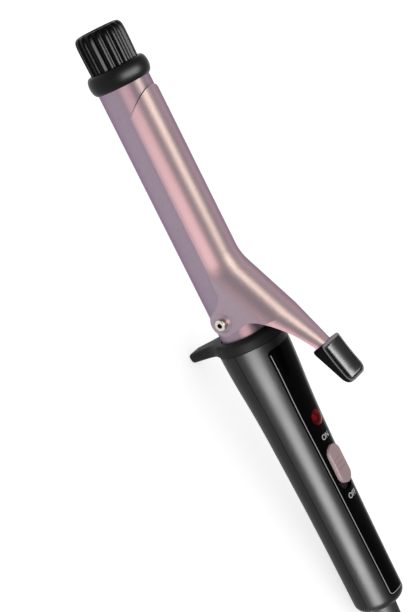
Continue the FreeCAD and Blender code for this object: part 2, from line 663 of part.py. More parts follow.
def spring_stud():
    """A stud welded under the lever, its lower end riveted over the leaf."""
    up = lever_normal()
    under = spring_place() - up * (PRESS_CLEARANCE + SPRING_THICKNESS)
    shank = Part.makeCylinder(RIVET_DIAMETER / 2, RIVET_DIAMETER, under, up)
    shank = shank.common(lever_block(CLIP_SHEET + PRESS_CLEARANCE, -EAR_RADIUS))
    head = Part.makeCylinder(RIVET_HEAD_DIAMETER / 2, RIVET_HEAD, under - up * RIVET_HEAD, up)
    return shank.fuse(head).removeSplitter()


def ring_body():
    outer = HANDLE_RADIUS
    ring = cylinder_x(outer, 0, RING_LENGTH)
    front_edge = [e for e in ring.Edges if e.BoundBox.XMax < RING_ROUND]
    ring = ring.makeFillet(RING_ROUND, front_edge)
    rear_edge = [e for e in ring.Edges if e.BoundBox.XMin > RING_LENGTH - RING_REAR_ROUND]
    ring = ring.makeFillet(RING_REAR_ROUND, rear_edge)
    ring = ring.cut(cylinder_x(BARREL_RADIUS + PRESS_CLEARANCE, -OVERRUN, RING_LENGTH + OVERRUN))
    return ring.cut(cylinder_x(BARREL_RADIUS + RING_GROOVE, -OVERRUN, RING_GROOVE_DEPTH))


def floor_angle():
    """Tilt of the tool, in radians, when it stands on its foot and on the round of its handle's end."""
    centre_x = HANDLE_STOP - HANDLE_END_ROUND
    centre_z = HANDLE_END_RADIUS - HANDLE_END_ROUND
    run = centre_x - FOOT_X
    rise = FOOT_REACH - centre_z
    return math.atan2(rise, run) - math.asin(HANDLE_END_ROUND / math.hypot(run, rise))


def foot_point():
    return V(FOOT_X, 0, -FOOT_REACH)


def stand_ring():
    root = -BARREL_RADIUS - RING_GROOVE
    tilt = floor_angle()
    along_floor = V(math.cos(tilt), 0, math.sin(tilt))
    front = foot_point() - along_floor * (FOOT_END / 2)
    rear = foot_point() + along_floor * (FOOT_END / 2)
    side = rounded_outline([V(RING_GROOVE_DEPTH, 0, root), V(0, 0, -HANDLE_RADIUS), front, rear,
                            V(RING_LENGTH, 0, -HANDLE_RADIUS - RING_ROUND), V(RING_LENGTH, 0, root)],
                           (2, 3), FOOT_ROUND)
    half = FOOT_WIDTH / 2
    end_half = FOOT_END_WIDTH / 2
    front_view = rounded_outline([V(0, -half, root), V(0, -half, -HANDLE_RADIUS), V(0, -end_half, front.z),
                                  V(0, end_half, front.z), V(0, half, -HANDLE_RADIUS), V(0, half, root)],
                                 (2, 3), FOOT_ROUND)
    width = Part.Face(front_view)
    width.translate(V(-OVERRUN, 0, 0))
    width = width.extrude(V(RING_LENGTH + FOOT_SLANT + FOOT_END, 0, 0))
    foot = across(side, FOOT_WIDTH).common(width)
    foot = foot.cut(cylinder_x(BARREL_RADIUS + RING_GROOVE, -OVERRUN, RING_LENGTH + OVERRUN))
    return ring_body().fuse(foot).removeSplitter()


def panel_outline(grow):
    """The inlay's tapering outline from above, with rounded corners at both ends."""
    start = HANDLE_START + PANEL_START - grow
    stop = HANDLE_STOP - PANEL_END + grow
    middle = (start + stop) / 2
    corner = PANEL_CORNER
    bend = corner * (1 - math.cos(math.radians(45)))
    halves = [w / 2 + grow for w in (PANEL_WIDTH, PANEL_MID_WIDTH, PANEL_END_WIDTH)]
    a = V(start, -halves[0] + corner, 0)
    b = V(start + corner, -halves[0], 0)
    c = V(stop - corner, -halves[2], 0)
    d = V(stop, -halves[2] + corner, 0)
    mirrored = [V(p.x, -p.y, 0) for p in (a, b, c, d)]
    near = [arc(a, V(start + bend, -halves[0] + bend, 0), b), smooth([b, V(middle, -halves[1], 0), c]),
            arc(c, V(stop - bend, -halves[2] + bend, 0), d)]
    far = [arc(mirrored[3], V(stop - bend, halves[2] - bend, 0), mirrored[2]),
           smooth([mirrored[2], V(middle, halves[1], 0), mirrored[1]]),
           arc(mirrored[1], V(start + bend, halves[0] - bend, 0), mirrored[0])]
    return Part.Wire(near + [line(d, mirrored[3])] + far + [line(mirrored[0], a)])


def panel_slot(grow):
    """The slot that the sliding button runs in, from end to end of its travel."""
    length = BUTTON_LENGTH + BUTTON_TRAVEL + 2 * SLIDE_CLEARANCE + 2 * grow
    width = BUTTON_WIDTH + 2 * SLIDE_CLEARANCE + 2 * grow
    return upright(stadium(length, width, BUTTON_FROM_RING + BUTTON_TRAVEL / 2), 0, CUT_SPAN / 2)


def lens_hole(diameter):
    return cylinder_z(diameter / 2, LENS_FROM_RING, 0, 0, CUT_SPAN / 2)


def switch_panel():
    skin = handle_body(PANEL_PROUD, HANDLE_START, HANDLE_STOP).cut(
        handle_body(-PANEL_DEPTH, HANDLE_START - OVERRUN, HANDLE_STOP + OVERRUN))
    panel = skin.common(upright(panel_outline(0), 0, CUT_SPAN / 2))
    return panel.cut(panel_slot(0)).cut(lens_hole(LENS_DIAMETER + 2 * PANEL_GAP))


def handle_shell_body():
    """The whole handle, before it is split: its wall, the barrel's seat and the gland's seat."""
    outer = handle_body(0, HANDLE_START, HANDLE_STOP)
    end_edge = [e for e in outer.Edges if e.BoundBox.XMin > HANDLE_STOP - OVERRUN]
    outer = outer.makeFillet(HANDLE_END_ROUND, end_edge)
    hollow = handle_body(-HANDLE_WALL, HANDLE_START + HANDLE_FRONT_WEB, HANDLE_STOP - HANDLE_END_WALL)
    body = outer.cut(hollow)
    body = body.cut(cylinder_x(BARREL_RADIUS + PRESS_CLEARANCE, HANDLE_START - OVERRUN,
                               HANDLE_START + HANDLE_FRONT_WEB + OVERRUN))
    body = body.cut(cylinder_x(GLAND_DIAMETER / 2 + PRESS_CLEARANCE, HANDLE_STOP - HANDLE_END_WALL - OVERRUN,
                               HANDLE_STOP + OVERRUN))
    groove = handle_body(OVERRUN, HANDLE_START, HANDLE_STOP - HANDLE_END_ROUND).cut(
        handle_body(-SEAM_DEPTH, HANDLE_START, HANDLE_STOP))
    half = SEAM_WIDTH / 2
    return body.cut(groove.common(box(HANDLE_START, HANDLE_STOP, -CUT_SPAN / 2, CUT_SPAN / 2, -half, half)))


def screw_places():
    """The front screw at its share of the handle, the rear one in front of the cord clamp."""
    clamp_front = HANDLE_STOP - CLAMP_FROM_END - CLAMP_LENGTH / 2
    front = HANDLE_START + HANDLE_LENGTH * HANDLE_SCREW_SHARE
    return (front, clamp_front - CLAMP_FROM_BOSS - BOSS_DIAMETER / 2)


def handle_inside():
    """The space that the bosses are trimmed to, reaching half way into the wall."""
    return handle_body(-HANDLE_WALL / 2, HANDLE_START + HANDLE_FRONT_WEB, HANDLE_STOP - HANDLE_END_WALL)


def handle_half(low, high):
    return handle_shell_body().common(box(HANDLE_START, HANDLE_STOP, -CUT_SPAN / 2, CUT_SPAN / 2, low, high))


def handle_upper_shell():
    inside = handle_inside()
    shell = handle_half(0, CUT_SPAN / 2)
    for x in screw_places():
        boss = cylinder_z(BOSS_DIAMETER / 2, x, 0, 0, HANDLE_RADIUS).common(inside)
        shell = shell.fuse(boss).cut(cylinder_z(HANDLE_SCREW_DIAMETER / 2 + PRESS_CLEARANCE, x, 0, -OVERRUN,
                                                HANDLE_SCREW_BITE))
    recess = handle_body(OVERRUN, HANDLE_START, HANDLE_STOP).cut(
        handle_body(-PANEL_DEPTH - PRESS_CLEARANCE, HANDLE_START - OVERRUN, HANDLE_STOP + OVERRUN))
    shell = shell.cut(recess.common(upright(panel_outline(PANEL_GAP), 0, CUT_SPAN / 2)))
    stem_length = STEM_LENGTH + BUTTON_TRAVEL + 2 * SLIDE_CLEARANCE
    stem_half = STEM_WIDTH / 2 + SLIDE_CLEARANCE
    stem_start = BUTTON_FROM_RING - STEM_LENGTH / 2 - SLIDE_CLEARANCE
    shell = shell.cut(box(stem_start, stem_start + stem_length, -stem_half, stem_half, 0, CUT_SPAN / 2))
    return shell.cut(lens_hole(LENS_BORE)).removeSplitter()


def board_post_places():
    return (BOARD_START + BOARD_POST_INSET, BOARD_STOP - BOARD_POST_INSET)


def handle_lower_shell():
    inside = handle_inside()
    shell = handle_half(-CUT_SPAN / 2, 0)
    for x in screw_places():
        shell = shell.fuse(cylinder_z(BOSS_DIAMETER / 2, x, 0, -HANDLE_RADIUS, 0).common(inside))
        hole = HANDLE_SCREW_DIAMETER / 2 + PRESS_CLEARANCE
        shell = shell.cut(cylinder_z(hole, x, 0, -HANDLE_RADIUS, OVERRUN))
        shell = shell.cut(cylinder_z(HANDLE_SCREW_HEAD_DIAMETER / 2 + PRESS_CLEARANCE, x, 0,
                                     -HANDLE_RADIUS - OVERRUN, screw_seat(x)))
    for x in board_post_places():
        post = cylinder_z(BOARD_POST_DIAMETER / 2, x, 0, -HANDLE_RADIUS, 0).common(inside)
        post = post.fuse(cylinder_z(BOARD_POST_DIAMETER / 2, x, 0, 0, BOARD_BASE - PRESS_CLEARANCE))
        shell = shell.fuse(post).cut(cylinder_z(BOARD_SCREW_DIAMETER / 2 + PRESS_CLEARANCE, x, 0,
                                                BOARD_TOP - BOARD_SCREW_LENGTH, BOARD_TOP))
    for x, y in clamp_screw_places():
        post = cylinder_z(CLAMP_POST_DIAMETER / 2, x, y, -HANDLE_RADIUS, CLAMP_BASE - PRESS_CLEARANCE)
        hole = CLAMP_SCREW_DIAMETER / 2 + PRESS_CLEARANCE
        hole_end = CLAMP_BASE - CLAMP_SCREW_BITE - PRESS_CLEARANCE
        shell = shell.fuse(post.common(inside)).cut(cylinder_z(hole, x, y, hole_end, 0))
    return shell.removeSplitter()


def screw_seat(x):
    """Height of the seat under a handle screw's head, one head's depth inside the lower shell."""
    return -handle_top(x) + HANDLE_SCREW_HEAD * 2


def handle_screws():
    screws = []
    for x in screw_places():
        seat = screw_seat(x) - PRESS_CLEARANCE
        head = cylinder_z(HANDLE_SCREW_HEAD_DIAMETER / 2, x, 0, seat - HANDLE_SCREW_HEAD, seat)
        shank = cylinder_z(HANDLE_SCREW_DIAMETER / 2, x, 0, seat, HANDLE_SCREW_BITE - OVERRUN)
        screws.append(head.fuse(shank).removeSplitter())
    return Part.makeCompound(screws)


def lens_base():
    """Height of the seat in the upper shell that the lens stands on, at the lens's border."""
    radius = handle_top(LENS_FROM_RING) - PANEL_DEPTH
    return math.sqrt(radius ** 2 - (LENS_DIAMETER / 2) ** 2)


def indicator_lens():
    radius = LENS_DIAMETER / 2
    base = handle_top(LENS_FROM_RING) - PANEL_DEPTH + PRESS_CLEARANCE
    shoulder = handle_top(LENS_FROM_RING) + PANEL_PROUD
    ball = (radius ** 2 + LENS_DOME ** 2) / (2 * LENS_DOME)
    dome = Part.makeSphere(ball, V(LENS_FROM_RING, 0, shoulder + LENS_DOME - ball))
    body = cylinder_z(radius, LENS_FROM_RING, 0, base, shoulder + LENS_DOME).common(dome)
    spigot_low = lens_base() - HANDLE_WALL / 2
    spigot = cylinder_z(LENS_BORE / 2 - PRESS_CLEARANCE, LENS_FROM_RING, 0, spigot_low, base + OVERRUN)
    return body.fuse(spigot.common(dome)).removeSplitter()


def indicator_led():
    radius = LED_DIAMETER / 2
    top = lens_base() - HANDLE_WALL / 2 - PRESS_CLEARANCE
    start = BOARD_TOP + PRESS_CLEARANCE
    stem = cylinder_z(radius, LENS_FROM_RING, 0, start, top - radius)
    dome = Part.makeSphere(radius, V(LENS_FROM_RING, 0, top - radius))
    return stem.fuse(dome).fuse(cylinder_z(LED_COLLAR_DIAMETER / 2, LENS_FROM_RING, 0, start,
                                           start + LED_COLLAR)).removeSplitter()


def button_base():
    """Underside of the sliding button, clear of the curved floor of its slot."""
    return handle_top(BUTTON_FROM_RING + BUTTON_TRAVEL) - PANEL_DEPTH + SLIDE_CLEARANCE


def switch_knob():
    top = handle_top(BUTTON_FROM_RING) + PANEL_PROUD + BUTTON_RISE
    body = upright(stadium(BUTTON_LENGTH, BUTTON_WIDTH, BUTTON_FROM_RING), button_base(), top)
    dish = upright(stadium(BUTTON_LENGTH - 2 * BUTTON_RIM, BUTTON_WIDTH - 2 * BUTTON_RIM, BUTTON_FROM_RING),
                   top - BUTTON_RIM_DEPTH, top + OVERRUN)
    body = body.cut(dish)
    first = BUTTON_FROM_RING - BUTTON_RIDGE_STEP * (BUTTON_RIDGE_COUNT - 1) / 2
    half_width = BUTTON_WIDTH / 2 - BUTTON_RIM / 2
    for index in range(BUTTON_RIDGE_COUNT):
        x = first + BUTTON_RIDGE_STEP * index
        body = body.fuse(box(x - BUTTON_RIDGE / 2, x + BUTTON_RIDGE / 2, -half_width, half_width,
                             top - BUTTON_RIM_DEPTH, top))
    return body.removeSplitter()


def switch_top():
    return BOARD_TOP + PRESS_CLEARANCE + SWITCH_HEIGHT


def switch_actuator():
    half = STEM_LENGTH / 2
    return box(BUTTON_FROM_RING - half, BUTTON_FROM_RING + half, -STEM_WIDTH / 2, STEM_WIDTH / 2,
               switch_top() - STEM_REACH, button_base() - PRESS_CLEARANCE)


def switch_body():
    middle = BUTTON_FROM_RING + BUTTON_TRAVEL / 2
    start = middle - SWITCH_LENGTH / 2
    base = BOARD_TOP + PRESS_CLEARANCE
    body = box(start, start + SWITCH_LENGTH, -SWITCH_WIDTH / 2, SWITCH_WIDTH / 2, base, switch_top())
    half = (STEM_LENGTH + BUTTON_TRAVEL) / 2 + SLIDE_CLEARANCE
    slot_half = STEM_WIDTH / 2 + SLIDE_CLEARANCE
    return body.cut(box(middle - half, middle + half, -slot_half, slot_half,
                        switch_top() - STEM_REACH - SLIDE_CLEARANCE, switch_top() + OVERRUN))


def control_board():
    board = box(BOARD_START, BOARD_STOP, -BOARD_WIDTH / 2, BOARD_WIDTH / 2, BOARD_BASE, BOARD_TOP)
    for x in board_post_places():
        board = board.cut(cylinder_z(BOARD_SCREW_DIAMETER / 2 + PRESS_CLEARANCE, x, 0, BOARD_BASE - OVERRUN,
                                     BOARD_TOP + OVERRUN))
    return board


def board_screws():
    screws = []
    for x in board_post_places():
        seat = BOARD_TOP + PRESS_CLEARANCE
        head = cylinder_z(BOARD_SCREW_HEAD_DIAMETER / 2, x, 0, seat, seat + BOARD_SCREW_HEAD)
        shank = cylinder_z(BOARD_SCREW_DIAMETER / 2, x, 0, seat - BOARD_SCREW_LENGTH + OVERRUN, seat)
        screws.append(head.fuse(shank).removeSplitter())
    return Part.makeCompound(screws)


def clamp_screw_places():
    """The two clamp screws, across the handle: X, and Y to each side."""
    x = HANDLE_STOP - CLAMP_FROM_END
    return [(x, -CLAMP_SCREW_SPACING / 2), (x, CLAMP_SCREW_SPACING / 2)]


def cord_clamp():
    start = HANDLE_STOP - CLAMP_FROM_END - CLAMP_LENGTH / 2
    stop = start + CLAMP_LENGTH
    bar = box(start, stop, -CLAMP_WIDTH / 2, CLAMP_WIDTH / 2, CLAMP_BASE, CLAMP_TOP)
    groove = cylinder_x(GLAND_BORE / 2, start - OVERRUN, stop + OVERRUN)
    throat = box(start - OVERRUN, stop + OVERRUN, -GLAND_BORE / 2, GLAND_BORE / 2, CLAMP_BASE - OVERRUN, 0)
    bar = bar.cut(groove).cut(throat)
    for x, y in clamp_screw_places():
        bar = bar.cut(cylinder_z(CLAMP_SCREW_DIAMETER / 2 + PRESS_CLEARANCE, x, y, CLAMP_BASE - OVERRUN,
                                 CLAMP_TOP + OVERRUN))
    return bar


def clamp_screws():
    screws = []
    seat = CLAMP_TOP + PRESS_CLEARANCE
    for x, y in clamp_screw_places():
        head = cylinder_z(CLAMP_SCREW_HEAD_DIAMETER / 2, x, y, seat, seat + CLAMP_SCREW_HEAD)
        shank = cylinder_z(CLAMP_SCREW_DIAMETER / 2, x, y, CLAMP_BASE - CLAMP_SCREW_BITE, seat)
        screws.append(head.fuse(shank).removeSplitter())
    return Part.makeCompound(screws)


def lead_wires():
    height = BOARD_TOP + WIRE_PLAY + WIRE_DIAMETER / 2
    start = -HEATER_FROM_RING - HEATER_PLATE_OVERHANG
    length = BOARD_START + WIRE_ON_BOARD - start
    near = Part.makeCylinder(WIRE_DIAMETER / 2, length, V(start, -WIRE_SPACING / 2, height), AXIS_X)
    return both_sides(near)


def cord_gland():
    start = HANDLE_STOP - HANDLE_END_WALL - PRESS_CLEARANCE
    back = start - GLAND_FLANGE
    stop = HANDLE_STOP + GLAND_LENGTH
    radius = GLAND_DIAMETER / 2
    end_radius = GLAND_END_DIAMETER / 2
    bend = GLAND_ROUND * (1 - math.cos(math.radians(45)))
    lip = V(stop - GLAND_ROUND, 0, end_radius)
    face = V(stop, 0, end_radius - GLAND_ROUND)
    bore = GLAND_BORE / 2
    flange = GLAND_FLANGE_DIAMETER / 2
    before = [V(start, 0, flange), V(start, 0, radius), V(HANDLE_STOP, 0, radius), lip]
    after = [face, V(stop, 0, bore), V(back, 0, bore), V(back, 0, flange), before[0]]
    sleeve = [line(p, q) for p, q in zip(before, before[1:])]
    inside = [line(p, q) for p, q in zip(after, after[1:])]
    return turned(sleeve + [arc(lip, V(stop - bend, 0, end_radius - bend), face)] + inside)


PIECES = {
    "barrel_tube": barrel_tube,
    "tip_collar": tip_collar,
    "tip_knob": tip_knob,
    "tip_cap": tip_cap,
    "tip_plug": tip_plug,
    "tip_screw": tip_screw,
    "heater_shoe_upper": lambda: heater_shoe(1),
    "heater_shoe_lower": lambda: heater_shoe(-1),
    "heater_element": heater_element,
    "thermal_fuse": thermal_fuse,
    "hinge_bracket": hinge_bracket,
    "hinge_screws": hinge_screws,
    "hinge_washers": hinge_washers,
    "clamp_blade": clamp_blade,
    "thumb_rest": thumb_rest,
    "clip_spring": clip_spring,
    "spring_stud": spring_stud,
    "stand_ring": stand_ring,
    "handle_upper_shell": handle_upper_shell,
    "handle_lower_shell": handle_lower_shell,
    "handle_screws": handle_screws,
    "switch_panel": switch_panel,
    "indicator_lens": indicator_lens,
    "indicator_led": indicator_led,
    "switch_knob": switch_knob,
    "switch_actuator": switch_actuator,
    "switch_body": switch_body,
    "control_board": control_board,
    "board_screws": board_screws,
    "cord_clamp": cord_clamp,
    "clamp_screws": clamp_screws,
    "lead_wires": lead_wires,
    "cord_gland": cord_gland,
}


def rest_placement():
    """Turns the tool so that it stands on the floor, with the middle of the foot's flat at the origin."""
    turn = FreeCAD.Rotation(AXIS_Y, math.degrees(floor_angle()))
    return FreeCAD.Placement(turn.multVec(foot_point()) * -1, turn)


def main():
    os.makedirs("parts", exist_ok=True)
    rest = rest_placement()
    for name, make in PIECES.items():
        shape = make()
        shape.Placement = rest.multiply(shape.Placement)
        shape.exportStep(os.path.join("parts", name + ".step"))
        print(name, len(shape.Solids), "solids", round(shape.Volume, 1), "mm3", "valid", shape.isValid())


if __name__ == "__main__":
    main()
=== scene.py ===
# %% [markdown]
# # A spring-clip curling iron
# The iron stands on its rest foot and on the round end of its handle. A round heated barrel carries a
# pressed clip, a thumb lever opens the clip against a spring, and a slide switch sits in a glossy inlay.
# The solids come from the imported model. This lesson gives each of them a finish, and models six of them
# again, closer to the real mouldings: the spring, the collar, the cool tip, the ring with its foot, the
# thumb rest and the button. It then paints a pale highlight line along the inlay's edge, prints two words on
# the inlay, and lights the iron as in a studio. Nothing may grow past it.

# %% Load the imported model
import bmesh
import bpy
import math
from mathutils import Matrix, Vector


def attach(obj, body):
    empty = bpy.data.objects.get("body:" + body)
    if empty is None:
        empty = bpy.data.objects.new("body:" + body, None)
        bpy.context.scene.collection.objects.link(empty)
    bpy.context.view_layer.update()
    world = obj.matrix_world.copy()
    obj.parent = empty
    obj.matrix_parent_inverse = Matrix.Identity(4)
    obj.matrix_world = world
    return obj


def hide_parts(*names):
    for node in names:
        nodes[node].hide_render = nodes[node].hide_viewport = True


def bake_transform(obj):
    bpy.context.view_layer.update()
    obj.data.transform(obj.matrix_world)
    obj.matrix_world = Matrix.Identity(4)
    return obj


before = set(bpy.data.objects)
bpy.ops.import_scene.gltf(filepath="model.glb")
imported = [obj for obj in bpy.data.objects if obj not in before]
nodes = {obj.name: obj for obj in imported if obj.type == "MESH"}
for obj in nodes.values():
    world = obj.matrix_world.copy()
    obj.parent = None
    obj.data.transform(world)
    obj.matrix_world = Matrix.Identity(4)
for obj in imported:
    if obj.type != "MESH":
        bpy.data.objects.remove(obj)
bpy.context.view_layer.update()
print("pieces in the packed model:", len(nodes))

# %% [markdown]
# ## The tool's own directions
# The iron was drawn along its barrel, and then leaned back until the handle's end touched the table.
# Work on a small piece is easier in the tool's own directions: X from the tip to the cord, Z towards the
# lever, in millimetres from the front of the ring. One matrix takes such a place to the table's frame, and
# a function gives a piece its place there, with a turn about the hinge's direction if it needs one.

# %% Tool frame
MM = 0.001
LEAN = math.radians(8.966620)
FOOT = Vector((4.6, 0.0, -34.2))
TOOL = Matrix.Rotation(LEAN, 4, "Y") @ Matrix.Translation(-FOOT * MM)
TIP = -152.5


def placed(x, y, z, turn=0.0):
    """A place in the tool's millimetres, turned about the hinge's direction, as a matrix for the table."""
    return TOOL @ Matrix.Translation(Vector((x, y, z)) * MM) @ Matrix.Rotation(turn, 4, "Y")


print("tip of the iron at", [round(v, 4) for v in placed(TIP, 0, 0).translation])

# %% [markdown]
# ## Camera
# The photograph looks down on the iron from the side of the hinge screw, with a long lens and a roll that
# stands the barrel up in the frame. The place, the turn and the lens were fitted to edges in the
# photograph, so the camera is set from those numbers and not by eye.

# %% Camera
LENS, SENSOR_HEIGHT, NEAREST = 109.35, 36.0, 10.0
EYE = (-183.62, -655.15, 513.67)
VIEW_RIGHT = Vector((0.44064, 0.49393, 0.74958))
VIEW_UP = Vector((-0.87649, 0.41708, 0.24041))
camera_data = bpy.data.cameras.new("photo_camera")
camera_data.sensor_fit = "VERTICAL"
camera_data.sensor_height = SENSOR_HEIGHT
camera_data.lens = LENS
camera_data.clip_start = NEAREST * MM
camera = bpy.data.objects.new("photo_camera", camera_data)
bpy.context.scene.collection.objects.link(camera)
view_turn = Matrix((VIEW_RIGHT, VIEW_UP, VIEW_RIGHT.cross(VIEW_UP))).transposed().to_4x4()
camera.matrix_world = placed(*EYE) @ view_turn
bpy.context.scene.camera = camera
print("lens", LENS, "mm")

# %% [markdown]
# ## Colours and nodes
# Colours are read from the photograph as sRGB hex values, and a shader wants linear light, so one function
# turns them. A second function adds a shader node with its settings and links, which keeps each finish
# short enough to read. A pattern's scale is worked out from the size of its cells on the real surface.

# %% Helpers for finishes


def linear(code):
    """sRGB hex to linear red, green, blue and alpha."""
    channels = [int(code[i:i + 2], 16) / 255 for i in (1, 3, 5)]
    return [c / 12.92 if c <= 0.04045 else ((c + 0.055) / 1.055) ** 2.4 for c in channels] + [1.0]


def add(tree, kind, settings=None, links=None):
    """Adds a node: settings are attributes or input values, links are outputs by an input's name."""
    made = tree.nodes.new(kind)
    for name, value in (settings or {}).items():
        if isinstance(name, int) or name in made.inputs:
            made.inputs[name].default_value = value
        else:
            setattr(made, name, value)
    for name, output in (links or {}).items():
        tree.links.new(output, made.inputs[name])
    return made


def finish(name, **values):
    """A new material whose shader sockets hold these values: its tree, shader and place in the piece."""
    material = bpy.data.materials.new(name)
    material.use_nodes = True
    tree = material.node_tree
    shader = tree.nodes["Principled BSDF"]
    for socket, value in values.items():
        shader.inputs[socket.replace("_", " ").title().replace("Ior", "IOR")].default_value = value
    place = add(tree, "ShaderNodeTexCoord").outputs["Object"]
    return material, tree, shader, place


def per_mm(size):
    """Texture scale for a pattern whose cells are this many millimetres across."""
    return 1 / (size * MM)


# %% [markdown]
# ## Mauve pearl lacquer
# The barrel and the clip are aluminium under a baked pearl lacquer, a violet grey that warms where light
# strikes it. Fine flakes scatter each highlight into a soft band. A mostly metallic shader with a middling
# roughness gives the band, and its edge tint keeps the rim violet. Real flakes are about 0.05 mm, so here
# they are drawn at 0.35 mm, which still shows as a faint grain. The clip's copy is painted lighter than the
# barrel's: painted light on the clip and painted shade on the barrel, which set the two apart.

# %% Pearl lacquer
FLAKE, DRIFT = 0.35, 40.0
DRIFT_SHARE = 0.35


def pearl_lacquer(name, low, high):
    """Pearl lacquer between two near tones."""
    material, tree, shader, place = finish(name, metallic=0.75, roughness=0.36, specular_ior_level=0.3,
                                           specular_tint=linear("#a890b0"))
    flakes = add(tree, "ShaderNodeTexNoise", {"Scale": per_mm(FLAKE), "Detail": 3.0}, {"Vector": place})
    drift = add(tree, "ShaderNodeTexNoise", {"Scale": per_mm(DRIFT), "Detail": 1.0}, {"Vector": place})
    mixed = add(tree, "ShaderNodeMath", {"operation": "MULTIPLY_ADD", 1: DRIFT_SHARE},
                {0: drift.outputs["Fac"], 2: flakes.outputs["Fac"]})
    tint = add(tree, "ShaderNodeValToRGB", None, {"Fac": mixed.outputs[0]})
    for stop, position, code in zip(tint.color_ramp.elements, (0.40, 0.95), (low, high)):
        stop.position = position
        stop.color = linear(code)
    tree.links.new(tint.outputs["Color"], shader.inputs["Base Color"])
    grain = add(tree, "ShaderNodeBump", {"Strength": 0.05, "Distance": 0.02 * MM},
                {"Height": flakes.outputs["Fac"]})
    tree.links.new(grain.outputs["Normal"], shader.inputs["Normal"])
    print("made", name)
    return material


# One lacquer in two tones: painted shade on the barrel, painted light on the clip.
barrel_pearl_painted_darker = pearl_lacquer("pearl_lacquer_painted_darker_on_barrel", "#8d7d8d", "#a0909d")
clip_pearl_painted_lighter = pearl_lacquer("pearl_lacquer_painted_lighter_on_clip", "#998894", "#ab9aa4")

# %% [markdown]
# ## Black mouldings
# A moulding takes its surface from the mould, which may be polished, blasted or spark-eroded. One function
# makes all of them, since they differ only in colour, in roughness, and in how fine and how deep the skin
# is. Slow smears over some 20 mm vary the tone, as handling does. The grain of an eroded or blasted mould
# is near 0.1 mm, so it is drawn coarser here to show at all.

# %% Black plastics
SMEAR = 22.0


def moulded(name, low, high, rough, skin_mm, depth_mm, mirror=0.5):
    """A moulding: two near tones, its roughness, a skin of this size and depth, and its mirror strength."""
    material, tree, shader, place = finish(name, ior=1.5, specular_ior_level=mirror)
    skin = add(tree, "ShaderNodeTexNoise", {"Scale": per_mm(skin_mm), "Detail": 2.0}, {"Vector": place})
    smear = add(tree, "ShaderNodeTexNoise", {"Scale": per_mm(SMEAR), "Detail": 3.0}, {"Vector": place})
    tone = add(tree, "ShaderNodeValToRGB", None, {"Fac": smear.outputs["Fac"]})
    for stop, position, code in zip(tone.color_ramp.elements, (0.35, 0.75), (low, high)):
        stop.position = position
        stop.color = linear(code)
    tree.links.new(tone.outputs["Color"], shader.inputs["Base Color"])
    gloss = add(tree, "ShaderNodeMapRange", {"To Min": rough * 0.9, "To Max": rough * 1.15},
                {"Value": smear.outputs["Fac"]})
    tree.links.new(gloss.outputs["Result"], shader.inputs["Roughness"])
    bump = add(tree, "ShaderNodeBump", {"Strength": 0.5, "Distance": depth_mm * MM},
               {"Height": skin.outputs["Fac"]})
    tree.links.new(bump.outputs["Normal"], shader.inputs["Normal"])
    print("made", name)
    return material


# The handle's upper half is polished, and a little wavy, so its highlight is soft and long.
polished_abs = moulded("polished_black_abs", "#080808", "#0d0d0d", 0.38, 9.0, 0.02, 0.25)
# Its lower half is the same black with a finer, duller skin, and its grey is a painted reflection of the pale
# room.
lower_abs_painted_grey = moulded("lower_shell_abs_painted_grey", "#171717", "#1e1e1e", 0.42, 0.5, 0.02, 0.15)
# The inlay is hard and nearly flat, so it stays the darkest of all.
inlay_gloss = moulded("high_gloss_black_inlay", "#060606", "#0a0a0a", 0.12, 14.0, 0.01, 0.03)
# Nylon from a blasted mould is dull and even.
satin_nylon = moulded("satin_black_nylon", "#202020", "#282828", 0.50, 0.7, 0.015, 0.05)
# Phenolic bears the barrel's heat: satin on the collar, smooth and deep black on the ribs of the tip.
collar_satin = moulded("satin_phenolic_collar", "#141414", "#1c1c1c", 0.36, 0.9, 0.015, 0.10)
knob_phenolic = moulded("black_phenolic_tip", "#040404", "#080808", 0.22, 1.2, 0.015, 0.07)
# Rubber has no clear highlight.
gland_rubber = moulded("black_gland_rubber", "#141414", "#1c1c1c", 0.58, 0.5, 0.02)
# The thumb rest is satin on its sides and polished inside its border.
pad_satin = moulded("satin_thumb_rest_side", "#0b0b0b", "#101010", 0.34, 0.7, 0.012, 0.03)
pad_gloss = moulded("polished_thumb_pad", "#050505", "#080808", 0.24, 9.0, 0.01, 0.05)

# %% [markdown]
# ## Mauve button, red lens, print and a painted highlight line
# The button is moulded in mauve to match the barrel, and the switch words are pad-printed, while the pale
# line along the inlay's edge is a painted highlight. The lens is clear red polycarbonate with small facets on
# its back, which catch light in places and lie in shade in others. Cells of a Voronoi pattern stand for the
# facets in its bump, and in its colour as painted highlights and painted shade.

# %% Button, lens and print
mauve_abs = moulded("mauve_moulded_abs", "#c8aaac", "#d2b5b6", 0.36, 0.6, 0.012, 0.35)
white_print = moulded("white_pad_print", "#e8e8e8", "#f6f6f6", 0.5, 0.3, 0.004)
# A pale ink for the line along the inlay's edge: a painted highlight of that edge.
edge_highlight_ink = moulded("painted_edge_highlight_ink", "#c0c0c0", "#d6d6d6", 0.45, 0.3, 0.004)

FACET = 2.6
red_lens, tree, shader, place = finish("red_polycarbonate_painted_facet_light", roughness=0.12, ior=1.58,
                                       specular_ior_level=0.05)
facets = add(tree, "ShaderNodeTexVoronoi", {"Scale": per_mm(FACET)}, {"Vector": place})
# Bright and dark red cells: painted highlights and painted shade of the facets.
facet_light_and_shade = add(tree, "ShaderNodeValToRGB", None, {"Fac": facets.outputs["Distance"]})
for stop, position, code in zip(facet_light_and_shade.color_ramp.elements, (0.0, 0.8), ("#b5121d", "#3c0308")):
    stop.position = position
    stop.color = linear(code)
tree.links.new(facet_light_and_shade.outputs["Color"], shader.inputs["Base Color"])
cut = add(tree, "ShaderNodeBump", {"Strength": 0.6, "Distance": 0.15 * MM},
          {"Height": facets.outputs["Distance"]})
tree.links.new(cut.outputs["Normal"], shader.inputs["Normal"])
print("made", red_lens.name)

